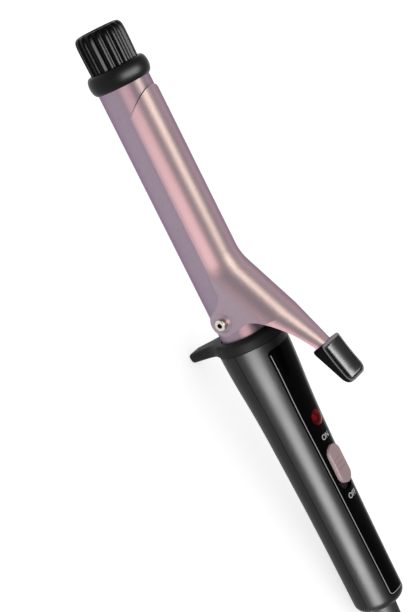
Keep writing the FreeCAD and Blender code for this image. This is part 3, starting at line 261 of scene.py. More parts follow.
# %% [markdown]
# ## Metals and the pieces inside
# The hinge screws are nickel plated and bright, while the screws and the spring inside are plated steel with
# fine turning marks, which blur what they mirror. The heater, its shoes, the board and the wires are seen
# only if the iron is opened, but each still gets the finish that it has on a bench.

# %% Metals


def metal(name, code, rough, line_mm):
    """A turned or rolled metal: fine lines of this spacing roughen it."""
    material, tree, shader, place = finish(name, metallic=1.0, base_color=linear(code))
    lines = add(tree, "ShaderNodeTexNoise", {"Scale": per_mm(line_mm), "Detail": 2.0}, {"Vector": place})
    worn = add(tree, "ShaderNodeMapRange", {"To Min": rough * 0.8, "To Max": rough * 1.3},
               {"Value": lines.outputs["Fac"]})
    tree.links.new(worn.outputs["Result"], shader.inputs["Roughness"])
    bump = add(tree, "ShaderNodeBump", {"Strength": 0.15, "Distance": 0.01 * MM},
               {"Height": lines.outputs["Fac"]})
    tree.links.new(bump.outputs["Normal"], shader.inputs["Normal"])
    print("made", name)
    return material


nickel = metal("nickel_plated_screw", "#cdc8c0", 0.18, 1.5)
plated_steel = metal("zinc_plated_steel", "#b9babd", 0.32, 0.8)
bare_aluminium = metal("die_cast_aluminium", "#c9cacc", 0.42, 0.6)
copper_lead = metal("tinned_copper_lead", "#c98d5f", 0.30, 0.6)
ceramic = moulded("alumina_ceramic", "#e4ded2", "#efeae0", 0.55, 0.5, 0.02)
laminate = moulded("green_glass_laminate", "#2c5a38", "#376b44", 0.35, 1.5, 0.01)

# %% [markdown]
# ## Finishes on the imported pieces
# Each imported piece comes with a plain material. A table from finish to pieces is easier to check than one
# line for each piece, and it shows at a glance which pieces are made of the same stuff.

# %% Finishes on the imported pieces
FINISHES = {
    barrel_pearl_painted_darker: ("barrel_tube",),
    clip_pearl_painted_lighter: ("clamp_blade", "hinge_washers"),
    polished_abs: ("handle_upper_shell", "thumb_rest"),
    lower_abs_painted_grey: ("handle_lower_shell",),
    inlay_gloss: ("switch_panel",),
    collar_satin: ("tip_collar",),
    satin_nylon: ("stand_ring", "tip_cap", "tip_plug", "switch_actuator", "switch_body"),
    knob_phenolic: ("tip_knob",),
    gland_rubber: ("cord_gland",),
    mauve_abs: ("switch_knob",),
    red_lens: ("indicator_lens", "indicator_led"),
    nickel: ("hinge_screws",),
    plated_steel: ("tip_screw", "clip_spring", "spring_stud", "handle_screws", "board_screws", "cord_clamp",
                   "clamp_screws"),
    bare_aluminium: ("heater_shoe_upper", "heater_shoe_lower", "hinge_bracket", "thermal_fuse"),
    copper_lead: ("lead_wires",),
    ceramic: ("heater_element",),
    laminate: ("control_board",),
}
for material, names in FINISHES.items():
    for name in names:
        nodes[name].data.materials.clear()
        nodes[name].data.materials.append(material)
print("finished", sum(len(names) for names in FINISHES.values()), "of", len(nodes))

# %% [markdown]
# ## Painted shadow on the clip's edge
# The clip stands a little off the barrel, and the shadow under its cut edge shows as a fine dark line
# against the barrel, so the cut edge gets a dark lacquer as painted shadow. A cut edge faces along the sheet
# and not away from the barrel's axis, so its faces are found by the angle between their normal and the line
# out from the axis. Only their material is changed.

# %% Painted shadow on the cut edge of the clip
# Dark lacquer on the cut edge: painted shadow of the gap under the clip.
painted_edge_shadow = moulded("painted_shadow_on_cut_edge", "#4a3c40", "#57474b", 0.5, 0.5, 0.01, 0.1)
blade = nodes["clamp_blade"].data
blade.materials.append(painted_edge_shadow)
TO_TOOL = TOOL.inverted()
CLIP_REAR, EDGE_COSINE = -2.0, 0.3
edge_faces = 0
for face in blade.polygons:
    middle = TO_TOOL @ face.center / MM
    normal = TO_TOOL.to_3x3() @ face.normal
    outward = Vector((0, middle.y, middle.z)).normalized()
    if middle.x < CLIP_REAR and abs(normal.dot(outward)) < EDGE_COSINE:
        face.material_index = 1
        edge_faces += 1
print("cut edge:", edge_faces, "of", len(blade.polygons), "faces")

# %% [markdown]
# ## Sockets of the hinge screws
# A screw's socket is a deep recess in a bright head, and the shade in it is painted on as a near-black metal.
# Its faces are those close to the screw's axis, and again only their material is changed.

# %% Screw sockets
# Near-black metal: painted shade in the socket.
painted_socket_shade = metal("painted_shade_in_socket", "#2c2620", 0.45, 0.8)
screws = nodes["hinge_screws"].data
screws.materials.append(painted_socket_shade)
HINGE_X, SOCKET_RADIUS = -10.0, 1.25
socket_faces = 0
for face in screws.polygons:
    middle = TO_TOOL @ face.center / MM
    if math.hypot(middle.x - HINGE_X, middle.z) < SOCKET_RADIUS:
        face.material_index = 1
        socket_faces += 1
print("sockets:", socket_faces, "of", len(screws.polygons), "faces")

# %% [markdown]
# ## Modelling by hand
# The new pieces start as primitives and are shaped in edit mode. An operator acts on whatever is selected,
# so a helper opens a piece with nothing selected, and others select edges, corners or faces by a rule about
# their place. At the end a piece is put in its place and its transform is applied, so that its place is in
# its mesh, and it is tied to the body that it moves with.

# %% Helpers for modelling
SMOOTH_BELOW = math.radians(35)
# A corner within this many millimetres of a place counts as being there.
NEAR = 0.1
# A face whose normal has this share along an axis counts as facing that way.
FACING = 0.9


def start_piece(name):
    """Names the primitive that was just added and opens it for editing, with nothing selected."""
    piece = bpy.context.active_object
    piece.name = name
    piece.data.name = name
    bpy.ops.object.mode_set(mode="EDIT")
    bpy.ops.mesh.select_all(action="DESELECT")
    return piece


def select_where(piece, kind, meets):
    """Selects the corners, edges or faces that meet a rule, and nothing else."""
    bpy.ops.mesh.select_mode(type=kind)
    bpy.ops.mesh.select_all(action="DESELECT")
    mesh = bmesh.from_edit_mesh(piece.data)
    for element in {"VERT": mesh.verts, "EDGE": mesh.edges, "FACE": mesh.faces}[kind]:
        element.select = bool(meets(element))
    mesh.select_flush_mode()
    bmesh.update_edit_mesh(piece.data)


def select_corners(piece, rule):
    """Selects corners by their place in millimetres."""
    select_where(piece, "VERT", lambda corner: rule(corner.co / MM))


def select_edges(piece, rule):
    """Selects edges by the places of their two ends in millimetres."""
    select_where(piece, "EDGE", lambda edge: rule(edge.verts[0].co / MM, edge.verts[1].co / MM))


def select_faces(piece, rule):
    """Selects faces by their middle in millimetres and their normal."""
    select_where(piece, "FACE", lambda face: rule(face.calc_center_median() / MM, face.normal))


def settle(piece, place, body, *replaced):
    """Closes a piece, applies its place, smooths it, and lets it ride on its body, if it has one."""
    bpy.ops.object.mode_set(mode="OBJECT")
    bpy.ops.object.select_all(action="DESELECT")
    piece.select_set(True)
    bpy.context.view_layer.objects.active = piece
    for modifier in list(piece.modifiers):
        bpy.ops.object.modifier_apply(modifier=modifier.name)
    piece.matrix_world = place
    bpy.ops.object.transform_apply(location=True, rotation=True, scale=True)
    bpy.ops.object.shade_smooth_by_angle(angle=SMOOTH_BELOW)
    if body:
        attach(piece, body)
    if replaced:
        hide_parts(*replaced)
    print(piece.name, len(piece.data.polygons), "faces")


# %% [markdown]
# ## Clip spring
# A strip of spring steel is folded into a narrow V between the lever and the barrel. Its upper arm is held
# to the lever by a stud, and its leg bears on the barrel, so the leg has to bend when the lever is pressed.
# A thick curve could draw the fold too, but a plane that is spun round it and drawn out along the leg has
# even steps, which bend well. A spin can leave double corners and turned faces, so both are mended before
# the sheet gets its thickness.

# %% Sheet of the spring
SPRING_ARM, SPRING_WIDTH, SPRING_SHEET = 16.0, 6.0, 0.5
FOLD_RADIUS, FOLD_TURN, FOLD_STEPS = 2.1, math.radians(158.77), 12
LEG_LENGTH, LEG_STEPS = 15.0, 12
SAME_PLACE = 0.001
bpy.ops.object.select_all(action="DESELECT")
bpy.ops.mesh.primitive_plane_add(size=1, location=(0, 0, 0))
leaf = start_piece("leaf_spring")
bpy.ops.mesh.select_all(action="SELECT")
bpy.ops.transform.resize(value=(SPRING_ARM * MM, SPRING_WIDTH * MM, 1))
select_edges(leaf, lambda p, q: min(p.x, q.x) > SPRING_ARM / 2 - NEAR)
fold_centre = Vector((SPRING_ARM / 2, 0, -FOLD_RADIUS))
bpy.ops.mesh.spin(steps=FOLD_STEPS, angle=-FOLD_TURN, center=fold_centre * MM, axis=(0, 1, 0))
leg_step = Vector((math.cos(FOLD_TURN), 0, -math.sin(FOLD_TURN))) * LEG_LENGTH / LEG_STEPS
for step in range(LEG_STEPS):
    bpy.ops.mesh.extrude_region_move(TRANSFORM_OT_translate={"value": leg_step * MM})
bpy.ops.mesh.select_all(action="SELECT")
bpy.ops.mesh.remove_doubles(threshold=SAME_PLACE * MM)
bpy.ops.mesh.normals_make_consistent(inside=False)
sheet = leaf.modifiers.new("sheet", "SOLIDIFY")
sheet.thickness = SPRING_SHEET * MM
sheet.offset = -1
bpy.ops.object.mode_set(mode="OBJECT")
bpy.ops.object.modifier_apply(modifier="sheet")
print("spring sheet:", len(leaf.data.polygons), "faces")

# %% [markdown]
# ## Stud hole of the spring
# The stud's hole is punched through the arm, here by a cylinder that a Boolean takes away. On the iron the
# arm follows the clip and the leg's end stays on the barrel, but here the piece is only set in its place
# and tied to no body.

# %% Stud hole
SPRING_PLACE, SPRING_RISE = (-4.0, 0, 27.761), math.radians(27.2)
STUD_HOLE, PUNCH_LENGTH, PUNCH_CORNERS = 2.44, 2.0, 32


def combine(piece, other, operation):
    """Joins another piece to this one, or cuts it away, and removes the other."""
    bpy.ops.object.mode_set(mode="OBJECT")
    change = piece.modifiers.new("change", "BOOLEAN")
    change.operation = operation
    change.object = other
    bpy.context.view_layer.objects.active = piece
    bpy.ops.object.modifier_apply(modifier="change")
    bpy.data.objects.remove(other)


bpy.ops.object.select_all(action="DESELECT")
bpy.ops.mesh.primitive_cylinder_add(vertices=PUNCH_CORNERS, radius=STUD_HOLE / 2 * MM,
                                    depth=PUNCH_LENGTH * MM, location=(0, 0, 0))
combine(leaf, bpy.context.active_object, "DIFFERENCE")
leaf.data.materials.append(plated_steel)
spring_frame = placed(*SPRING_PLACE, -SPRING_RISE)
settle(leaf, spring_frame, None, "clip_spring")
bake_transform(leaf)

# %% [markdown]
# ## Collar
# A plump ring of satin phenolic parts the hot barrel from the cool tip. It could be turned from an outline,
# but a cylinder that is cut into rings and scaled ring by ring keeps the bulge easy to change. The two ends
# are then inset, sunk and bridged to make the barrel's seat and the spigot's bore. It is modelled upright,
# with its tip end up, and laid along the barrel at the end.

# %% Collar
COLLAR_MIDDLE, COLLAR_HALF, COLLAR_RADIUS, COLLAR_CORNERS = -130.0, 4.5, 14.62, 96
COLLAR_RINGS = ((-4.5, 12.95), (-4.0, 13.5), (-3.0, 14.1), (-1.5, 14.5), (0.0, 14.62), (1.5, 14.5),
                (2.9, 14.15), (3.8, 13.65), (4.3, 13.1), (4.5, 12.5))
BARREL_SEAT, BARREL_INSIDE, SPIGOT_BORE = 12.53, 5.03, 8.05
ALONG, ACROSS, UP = Vector((1, 0, 0)), Vector((0, 1, 0)), Vector((0, 0, 1))
LAY_DOWN = math.radians(-90)


def cut_across(direction, places):
    """Cuts the piece that is open for editing at these places along a direction, in millimetres."""
    for place in places:
        bpy.ops.mesh.select_all(action="SELECT")
        bpy.ops.mesh.bisect(plane_co=direction * place * MM, plane_no=direction)


bpy.ops.object.select_all(action="DESELECT")
bpy.ops.mesh.primitive_cylinder_add(vertices=COLLAR_CORNERS, radius=COLLAR_RADIUS * MM,
                                    depth=2 * COLLAR_HALF * MM, location=(0, 0, 0))
collar = start_piece("plump_collar")
cut_across(UP, [height for height, radius in COLLAR_RINGS[1:-1]])
for height, radius in COLLAR_RINGS:
    select_corners(collar, lambda p: abs(p.z - height) < NEAR)
    scale = radius / COLLAR_RADIUS
    bpy.ops.transform.resize(value=(scale, scale, 1), center_override=(0, 0, 0))
select_faces(collar, lambda p, n: n.z < -FACING and p.xy.length < NEAR)
bpy.ops.mesh.inset(thickness=(COLLAR_RINGS[0][1] - BARREL_SEAT) * MM)
bpy.ops.mesh.extrude_region_move(TRANSFORM_OT_translate={"value": UP * BARREL_INSIDE * MM})
bpy.ops.mesh.inset(thickness=(BARREL_SEAT - SPIGOT_BORE) * MM)
select_faces(collar, lambda p, n: n.z > FACING and p.xy.length < NEAR)
bpy.ops.mesh.inset(thickness=(COLLAR_RINGS[-1][1] - SPIGOT_BORE) * MM)
select_faces(collar, lambda p, n: abs(n.z) > FACING and p.xy.length < NEAR)
bpy.ops.mesh.bridge_edge_loops()
collar.data.materials.append(collar_satin)
settle(collar, placed(COLLAR_MIDDLE, 0, 0, LAY_DOWN), "iron", "tip_collar")

# %% [markdown]
# ## Cool tip
# The cool tip is a phenolic knob with eighteen ribs that run over its rounded shoulder, so that it can be
# gripped while the barrel is hot. A cylinder with twelve corners to a rib is cut into rings. The bore for
# the spigot is sunk first, and then each ring is scaled to the knob's outline, its grooves more than its
# crests. The rib's shape gives each of its corners a share of the groove's depth, from crest to floor.
# Ribs made as bars and joined to a plain knob would leave seams on the shoulder.

# %% Ribs of the cool tip
KNOB_MIDDLE, KNOB_HALF, KNOB_RADIUS = -143.5, 9.0, 11.7
RIB_COUNT, RIB_CORNERS, CREST_OFFSET = 18, 12, 3
RIB_SHAPE = (0.35, 0.12, 0.03, 0.0, 0.03, 0.12, 0.35, 0.7, 0.95, 1.0, 0.95, 0.7)
KNOB_RINGS = ((-9.0, 11.45, 1.1), (-6.0, 11.55, 1.15), (0.0, 11.65, 1.15), (4.0, 11.65, 1.15),
              (5.6, 11.6, 1.15), (6.6, 11.45, 1.05), (7.4, 11.2, 0.85), (8.0, 10.85, 0.6),
              (8.5, 10.4, 0.3), (8.8, 9.95, 0.1), (9.0, 9.4, 0.0))
SPIGOT_DEPTH, SCREW_HOLE = 8.02, 1.55


def rib_corner(p):
    """Which corner of its rib a corner of the knob is."""
    turn = math.atan2(p.y, p.x) / (2 * math.pi)
    return (round(turn * RIB_COUNT * RIB_CORNERS) + CREST_OFFSET) % RIB_CORNERS


bpy.ops.object.select_all(action="DESELECT")
bpy.ops.mesh.primitive_cylinder_add(vertices=RIB_COUNT * RIB_CORNERS, radius=KNOB_RADIUS * MM,
                                    depth=2 * KNOB_HALF * MM, location=(0, 0, 0))
knob = start_piece("ribbed_knob")
cut_across(UP, [height for height, crest, groove in KNOB_RINGS[1:-1]])
select_faces(knob, lambda p, n: n.z < -FACING)
bpy.ops.mesh.inset(thickness=(KNOB_RADIUS - SPIGOT_BORE) * MM)
bpy.ops.mesh.extrude_region_move(TRANSFORM_OT_translate={"value": UP * SPIGOT_DEPTH * MM})
bpy.ops.mesh.inset(thickness=(SPIGOT_BORE - SCREW_HOLE) * MM)
for height, crest, groove in KNOB_RINGS:
    for share in sorted(set(RIB_SHAPE)):
        select_corners(knob, lambda p: (abs(p.z - height) < NEAR and p.xy.length > KNOB_RADIUS - NEAR
                                        and RIB_SHAPE[rib_corner(p)] == share))
        scale = (crest - groove * share) / KNOB_RADIUS
        bpy.ops.transform.resize(value=(scale, scale, 1), center_override=(0, 0, 0))
print("ribs:", RIB_COUNT, "with", len(KNOB_RINGS), "rings")

# %% [markdown]
# ## Seat of the cap
# The end of the knob holds a thin cap over the screw that pulls the knob on. The end face is inset to the
# cap's seat and sunk, inset again to the ledge that the cap rests on, and sunk to the floor that the screw
# pulls on. The screw's hole bridges that floor and the spigot's bore.

# %% Seat of the cap
CAP_SEAT, CAP_SEAT_DEPTH = 8.65, 2.55
SCREW_WELL, SCREW_WELL_DEPTH = 7.6, 5.4
select_faces(knob, lambda p, n: n.z > FACING and p.z > KNOB_HALF - NEAR / 2)
bpy.ops.mesh.inset(thickness=(KNOB_RINGS[-1][1] - CAP_SEAT) * MM)
bpy.ops.mesh.extrude_region_move(TRANSFORM_OT_translate={"value": -UP * CAP_SEAT_DEPTH * MM})
bpy.ops.mesh.inset(thickness=(CAP_SEAT - SCREW_WELL) * MM)
bpy.ops.mesh.extrude_region_move(TRANSFORM_OT_translate={"value": -UP * SCREW_WELL_DEPTH * MM})
bpy.ops.mesh.inset(thickness=(SCREW_WELL - SCREW_HOLE) * MM)
select_faces(knob, lambda p, n: abs(n.z) > FACING and p.xy.length < NEAR)
bpy.ops.mesh.bridge_edge_loops()
knob.data.materials.append(knob_phenolic)
settle(knob, placed(KNOB_MIDDLE, 0, 0, LAY_DOWN), "iron", "tip_knob")

# %% [markdown]
# ## Ring
# The ring closes the handle round the foot of the barrel. It starts as a plain disc, wide and round at its
# front edge and hardly broken at its rear edge, where a fine line parts it from the handle. Its bore waits
# until the foot is joined to it, so that one cut goes through both.

# %% Ring
RING_RADIUS, RING_LENGTH, DISC_CORNERS = 16.448, 6.0, 128
RING_ROUNDS = ((0, 2.2), (RING_LENGTH, 0.5))


def disc(name, radius, front, rear):
    """A cylinder along the barrel between two places."""
    bpy.ops.object.select_all(action="DESELECT")
    bpy.ops.mesh.primitive_cylinder_add(vertices=DISC_CORNERS, radius=radius * MM,
                                        depth=(rear - front) * MM,
                                        location=((front + rear) / 2 * MM, 0, 0),
                                        rotation=(0, LAY_DOWN, 0))
    bpy.ops.object.transform_apply(location=True, rotation=True, scale=True)
    return start_piece(name)


ring = disc("rest_ring", RING_RADIUS, 0, RING_LENGTH)
for end, rounding in RING_ROUNDS:
    select_edges(ring, lambda p, q: max(abs(p.x - end), abs(q.x - end)) < NEAR)
    bpy.ops.mesh.bevel(offset=rounding * MM, segments=8)
bpy.ops.object.mode_set(mode="OBJECT")
print("ring:", len(ring.data.polygons), "faces")

# %% [markdown]
# ## Rest foot
# The foot keeps the hot barrel off the table. It runs flush out of the ring's front face, flares into it, and
# is round on all its edges. A box is cut into stations, and each station is scaled to the foot's outline:
# half its width comes from a list, and its front and rear from two straight lines. The end is tilted by the
# iron's lean, so that it lies flat on the table. A list of stations is easy to match to a photograph.

# %% Rest foot
FOOT_STATIONS = ((-5.0, 14.8), (-8.0, 14.3), (-10.0, 13.5), (-12.0, 12.2), (-14.0, 10.5), (-16.0, 9.0),
                 (-18.0, 7.9), (-20.0, 7.2), (-23.0, 6.5), (-28.0, 5.7), (-34.2, 5.0))
FOOT_FRONT, FOOT_REAR = (0.03, 2.33), (5.95, 6.87)
FOOT_TILT, FOOT_ROUND = 0.358, 1.6
FOOT_TOP, FOOT_END = FOOT_STATIONS[0][0], FOOT_STATIONS[-1][0]


def round_edges(piece, width_mm, segments):
    """A bevel on every edge sharper than 40 degrees, as a mould leaves it."""
    bevel = piece.modifiers.new("mould_radius", "BEVEL")
    bevel.width = width_mm * MM
    bevel.segments = segments
    bevel.limit_method = "ANGLE"
    bevel.angle_limit = math.radians(40)


bpy.ops.object.select_all(action="DESELECT")
bpy.ops.mesh.primitive_cube_add(size=1, location=(0, 0, 0))
foot = start_piece("rest_foot")
bpy.ops.mesh.select_all(action="SELECT")
bpy.ops.transform.resize(value=(MM, MM, (FOOT_TOP - FOOT_END) * MM))
bpy.ops.transform.translate(value=UP * (FOOT_TOP + FOOT_END) / 2 * MM)
cut_across(UP, [height for height, half in FOOT_STATIONS[1:-1]])
for height, half in FOOT_STATIONS:
    share = max(0, (height + RING_RADIUS) / (FOOT_END + RING_RADIUS))
    front = FOOT_FRONT[0] + (FOOT_FRONT[1] - FOOT_FRONT[0]) * share
    rear = FOOT_REAR[0] + (FOOT_REAR[1] - FOOT_REAR[0]) * share
    select_corners(foot, lambda p: abs(p.z - height) < NEAR)
    bpy.ops.transform.resize(value=(rear - front, 2 * half, 1))
    bpy.ops.transform.translate(value=ALONG * (front + rear) / 2 * MM)
for side in (1, -1):
    select_corners(foot, lambda p: p.z < FOOT_END + 1 and (p.x - FOOT.x) * side > 0)
    bpy.ops.transform.translate(value=UP * FOOT_TILT * side * MM)
round_edges(foot, FOOT_ROUND, 6)
bpy.ops.object.mode_set(mode="OBJECT")
bpy.ops.object.modifier_apply(modifier="mould_radius")
print("foot:", len(foot.data.polygons), "faces")

# %% [markdown]
# ## Ring and foot as one moulding
# On the real iron the two are one moulding, so a union joins them. Two cylinders then cut the bore and the
# groove round the barrel, in the order in which a mould maker would cut the form and its core.

# %% Ring and foot as one moulding
RING_CUTS = (("bore", 12.52, -1.0, 7.0), ("groove", 12.95, -1.0, 1.6))
combine(ring, foot, "UNION")
for name, radius, front, rear in RING_CUTS:
    combine(ring, disc(name, radius, front, rear), "DIFFERENCE")
ring.data.materials.append(satin_nylon)
settle(ring, TOOL, "iron", "stand_ring")

# %% [markdown]
# ## Thumb rest
# The thumb rest is a moulded pad that slips over the lever's end. Its top is a saddle, and its depth shrinks
# towards the free end. A box is cut into stations along its length, each station's top is lowered to the
# saddle's line, and its underside is drawn in a little, so that it would leave a mould. The upright edges
# are then bevelled, the free end's more than the lever's.

# %% Body of the thumb rest
PAD_LENGTH, PAD_WIDTH = 21.2, 16.0
PAD_TOP = ((0, 1.3), (2.6, 1.06), (4, 0.94), (8, 0.76), (12, 0.73), (16, 0.85), (21.2, 1.05))
PAD_FRONT_LOW, PAD_END_LOW, PAD_DRAFT = -5.4, -1.1, 0.93
PAD_FRONT_ROUND, PAD_END_ROUND = 1.8, 4.0
bpy.ops.object.select_all(action="DESELECT")
bpy.ops.mesh.primitive_cube_add(size=1, location=(0, 0, 0))
pad = start_piece("thumb_pad")
bpy.ops.mesh.select_all(action="SELECT")
bpy.ops.transform.resize(value=(PAD_LENGTH * MM, PAD_WIDTH * MM, 2 * MM))
bpy.ops.transform.translate(value=ALONG * PAD_LENGTH / 2 * MM)
cut_across(ALONG, [along for along, height in PAD_TOP[1:-1]])
for along, height in PAD_TOP:
    low = PAD_FRONT_LOW + (PAD_END_LOW - PAD_FRONT_LOW) * along / PAD_LENGTH
    select_corners(pad, lambda p: abs(p.x - along) < NEAR and p.z > 0)
    bpy.ops.transform.translate(value=UP * (height - 1) * MM)
    select_corners(pad, lambda p: abs(p.x - along) < NEAR and p.z < 0)
    bpy.ops.transform.translate(value=UP * (low + 1) * MM)
    bpy.ops.transform.resize(value=(1, PAD_DRAFT, 1))
select_edges(pad, lambda p, q: min(p.x, q.x) > PAD_LENGTH - NEAR and abs(p.z - q.z) > 2)
bpy.ops.mesh.bevel(offset=PAD_END_ROUND * MM, segments=6)
select_edges(pad, lambda p, q: max(p.x, q.x) < NEAR and abs(p.z - q.z) > 2)
bpy.ops.mesh.bevel(offset=PAD_FRONT_ROUND * MM, segments=5)
print("thumb rest:", PAD_LENGTH, "by", PAD_WIDTH, "mm")

# %% [markdown]
# ## Border and field of the thumb rest
# A fine groove leaves a border round the top, and the field inside it is polished. Three insets make the
# border and the groove. A subdivided surface would round them away, so the faces stay plain. The field is
# cut lengthways once, on the side of the hinge screw that is seen, and that line is raised by a fifth of a
# millimetre, less towards its ends, so that the field catches one long light.

# %% Border and field of the thumb rest
BORDER_WIDTH, GROOVE_SIDE, GROOVE_DEPTH = 1.5, 0.22, 0.14
PAD_BORDER = BORDER_WIDTH + 2 * GROOVE_SIDE
RAISED_LINE, LINE_RISE, LINE_FADE = -4.0, 0.19444, 4.0
GLOSS_EDGE, PAD_ROUND = 1.6, 1.1
PAD_PLACE, PAD_RISE = (15.298, 0, 38.736), math.radians(16.3)
select_faces(pad, lambda p, n: n.z > 0.7)
bpy.ops.mesh.inset(thickness=BORDER_WIDTH * MM)
for depth in (-GROOVE_DEPTH, GROOVE_DEPTH):
    bpy.ops.mesh.inset(thickness=GROOVE_SIDE * MM, depth=depth * MM)
bpy.ops.mesh.bisect(plane_co=ACROSS * RAISED_LINE * MM, plane_no=ACROSS)
for along, height in PAD_TOP[1:-1]:
    to_border = min(along, PAD_LENGTH - along) - PAD_BORDER
    select_corners(pad, lambda p: (abs(p.x - along) < 3 * NEAR and abs(p.y - RAISED_LINE) < NEAR
                                   and p.z > 2 * NEAR))
    bpy.ops.transform.translate(value=UP * LINE_RISE * min(1, to_border / LINE_FADE) * MM)
pad.data.materials.append(pad_satin)
pad.data.materials.append(pad_gloss)
select_faces(pad, lambda p, n: (n.z > 0.5 and abs(p.y) < PAD_WIDTH / 2 - GLOSS_EDGE
                                and GLOSS_EDGE < p.x < PAD_LENGTH - GLOSS_EDGE))
pad.active_material_index = 1
bpy.ops.object.material_slot_assign()
round_edges(pad, PAD_ROUND, 4)
settle(pad, placed(*PAD_PLACE, -PAD_RISE), "clip", "thumb_rest")

# %% [markdown]
# ## Sliding button
# The button is a long oval with a raised rim and three ridges across its middle for the thumb. A cylinder is
# pulled apart into an oval, which needs no Boolean and leaves no seam, and its top is inset twice to leave
# the rim. Its edges get a small bevel.

# %% Sliding button
BUTTON_X, BUTTON_TOP, BUTTON_LOW = 73.7, 14.80, 12.46
BUTTON_HALF_WIDTH, BUTTON_PULL, BUTTON_ROUND, BUTTON_CORNERS = 4.5, 5.25, 0.4, 48
RIM_WIDTH, RIM_DEPTH = 0.9, 0.3
bpy.ops.object.select_all(action="DESELECT")
bpy.ops.mesh.primitive_cylinder_add(vertices=BUTTON_CORNERS, radius=BUTTON_HALF_WIDTH * MM,
                                    depth=(BUTTON_TOP - BUTTON_LOW) * MM, location=(0, 0, 0))
button = start_piece("slide_button")
for side in (1, -1):
    select_corners(button, lambda p: p.x > -0.001 if side > 0 else p.x < -0.001)
    bpy.ops.transform.translate(value=ALONG * side * BUTTON_PULL * MM)
select_faces(button, lambda p, n: n.z > FACING)
bpy.ops.mesh.inset(thickness=RIM_WIDTH * MM)
bpy.ops.mesh.inset(thickness=RIM_DEPTH * MM, depth=-RIM_DEPTH * MM)
round_edges(button, BUTTON_ROUND, 3)
bpy.ops.object.mode_set(mode="OBJECT")
bpy.ops.object.modifier_apply(modifier="mould_radius")
print("button:", len(button.data.polygons), "faces")

# %% [markdown]
# ## Ridges of the button
# The three ridges are alike, so one is modelled as a small bar with round edges, and two copies of it are
# set beside it, each with its own mesh. All of them are then joined to the button.

# %% Ridges of the button
RIDGE_COUNT, RIDGE_STEP = 3, 2.6
RIDGE_SIZE, RIDGE_ROUND = (0.6, 4.6, 0.7), 0.2
first_ridge = -RIDGE_STEP * (RIDGE_COUNT - 1) / 2
ridge_height = (BUTTON_TOP - BUTTON_LOW) / 2 - RIM_DEPTH
bpy.ops.object.select_all(action="DESELECT")
bpy.ops.mesh.primitive_cube_add(size=1, location=(first_ridge * MM, 0, ridge_height * MM))
ridge = start_piece("button_ridge")
bpy.ops.mesh.select_all(action="SELECT")
bpy.ops.transform.resize(value=Vector(RIDGE_SIZE) * MM)
round_edges(ridge, RIDGE_ROUND, 3)
bpy.ops.object.mode_set(mode="OBJECT")
bpy.ops.object.modifier_apply(modifier="mould_radius")
ridges = [ridge]
for copy in range(RIDGE_COUNT - 1):
    bpy.ops.object.duplicate()
    bpy.ops.transform.translate(value=ALONG * RIDGE_STEP * MM)
    ridges.append(bpy.context.active_object)
for ridge in ridges:
    ridge.select_set(True)
button.select_set(True)
bpy.context.view_layer.objects.active = button
bpy.ops.object.join()
button.data.materials.append(mauve_abs)
settle(button, placed(BUTTON_X, 0, (BUTTON_TOP + BUTTON_LOW) / 2), "switch", "switch_knob")

# %% [markdown]
# ## Print and painted highlight on the inlay
# Pad print is a film a few hundredths of a millimetre thick that follows the curve it is printed on. The
# words and the painted highlight line are each made flat above the inlay, projected down on it, and given
# the same small thickness, so one helper does that for all.

# %% Helper for print
ABOVE_INLAY = placed(0, 0, 20)
FILM_RISE, FILM = 0.05, 0.04


def print_on_inlay(piece, ink):
    """Projects a flat piece down on the inlay and makes it a thin closed film."""
    bpy.ops.object.mode_set(mode="OBJECT")
    piece.matrix_world = ABOVE_INLAY
    wrap = piece.modifiers.new("follow_inlay", "SHRINKWRAP")
    wrap.target = nodes["switch_panel"]
    wrap.wrap_method = "PROJECT"
    wrap.use_project_z = True
    wrap.use_negative_direction = True
    wrap.use_positive_direction = False
    wrap.offset = FILM_RISE * MM
    film = piece.modifiers.new("film", "SOLIDIFY")
    film.thickness = FILM * MM
    piece.data.materials.append(ink)
    settle(piece, ABOVE_INLAY, "iron")


# %% [markdown]
# ## Painted highlight along the inlay
# A fine pale line, a painted highlight of the inlay's edge, runs just inside the inlay's border, round its
# rear end and along both sides, and is open at the ring. A plane is cut into stations along the inlay, each
# station is scaled to the inlay's width there, and the plane's four corners are rounded. A curve could draw
# the line as well, but an inset keeps its width even round the corners.

# %% Outline of the inlay
INLAY_START, INLAY_STOP, INLAY_CORNER = 10.0, 142.2, 2.0
INLAY_HALF_WIDTHS = (10.3, 7.4, 6.2)
INLAY_STEPS = 40
INLAY_LENGTH = INLAY_STOP - INLAY_START
INLAY_MIDDLE = (INLAY_START + INLAY_STOP) / 2


def inlay_half_width(x):
    """Half the inlay's width at a place along the handle, on a parabola through its ends and its middle."""
    t = (x - INLAY_START) / INLAY_LENGTH
    first, middle, last = INLAY_HALF_WIDTHS
    return first * (1 - t) * (1 - 2 * t) + middle * 4 * t * (1 - t) + last * t * (2 * t - 1)


bpy.ops.object.select_all(action="DESELECT")
bpy.ops.mesh.primitive_plane_add(size=1, location=(0, 0, 0))
border = start_piece("painted_edge_highlight_line")
bpy.ops.mesh.select_all(action="SELECT")
bpy.ops.transform.resize(value=(INLAY_LENGTH * MM, MM, 1))
bpy.ops.transform.translate(value=ALONG * INLAY_MIDDLE * MM)
stations = [INLAY_START + INLAY_LENGTH * step / INLAY_STEPS for step in range(INLAY_STEPS + 1)]
cut_across(ALONG, stations[1:-1])
for along in stations:
    select_corners(border, lambda p: abs(p.x - along) < NEAR)
    bpy.ops.transform.resize(value=(1, 2 * inlay_half_width(along), 1))
select_corners(border, lambda p: abs(abs(p.x - INLAY_MIDDLE) - INLAY_LENGTH / 2) < NEAR)
bpy.ops.mesh.bevel(offset=INLAY_CORNER * MM, segments=6, affect="VERTICES")
print("inlay:", len(stations), "stations")

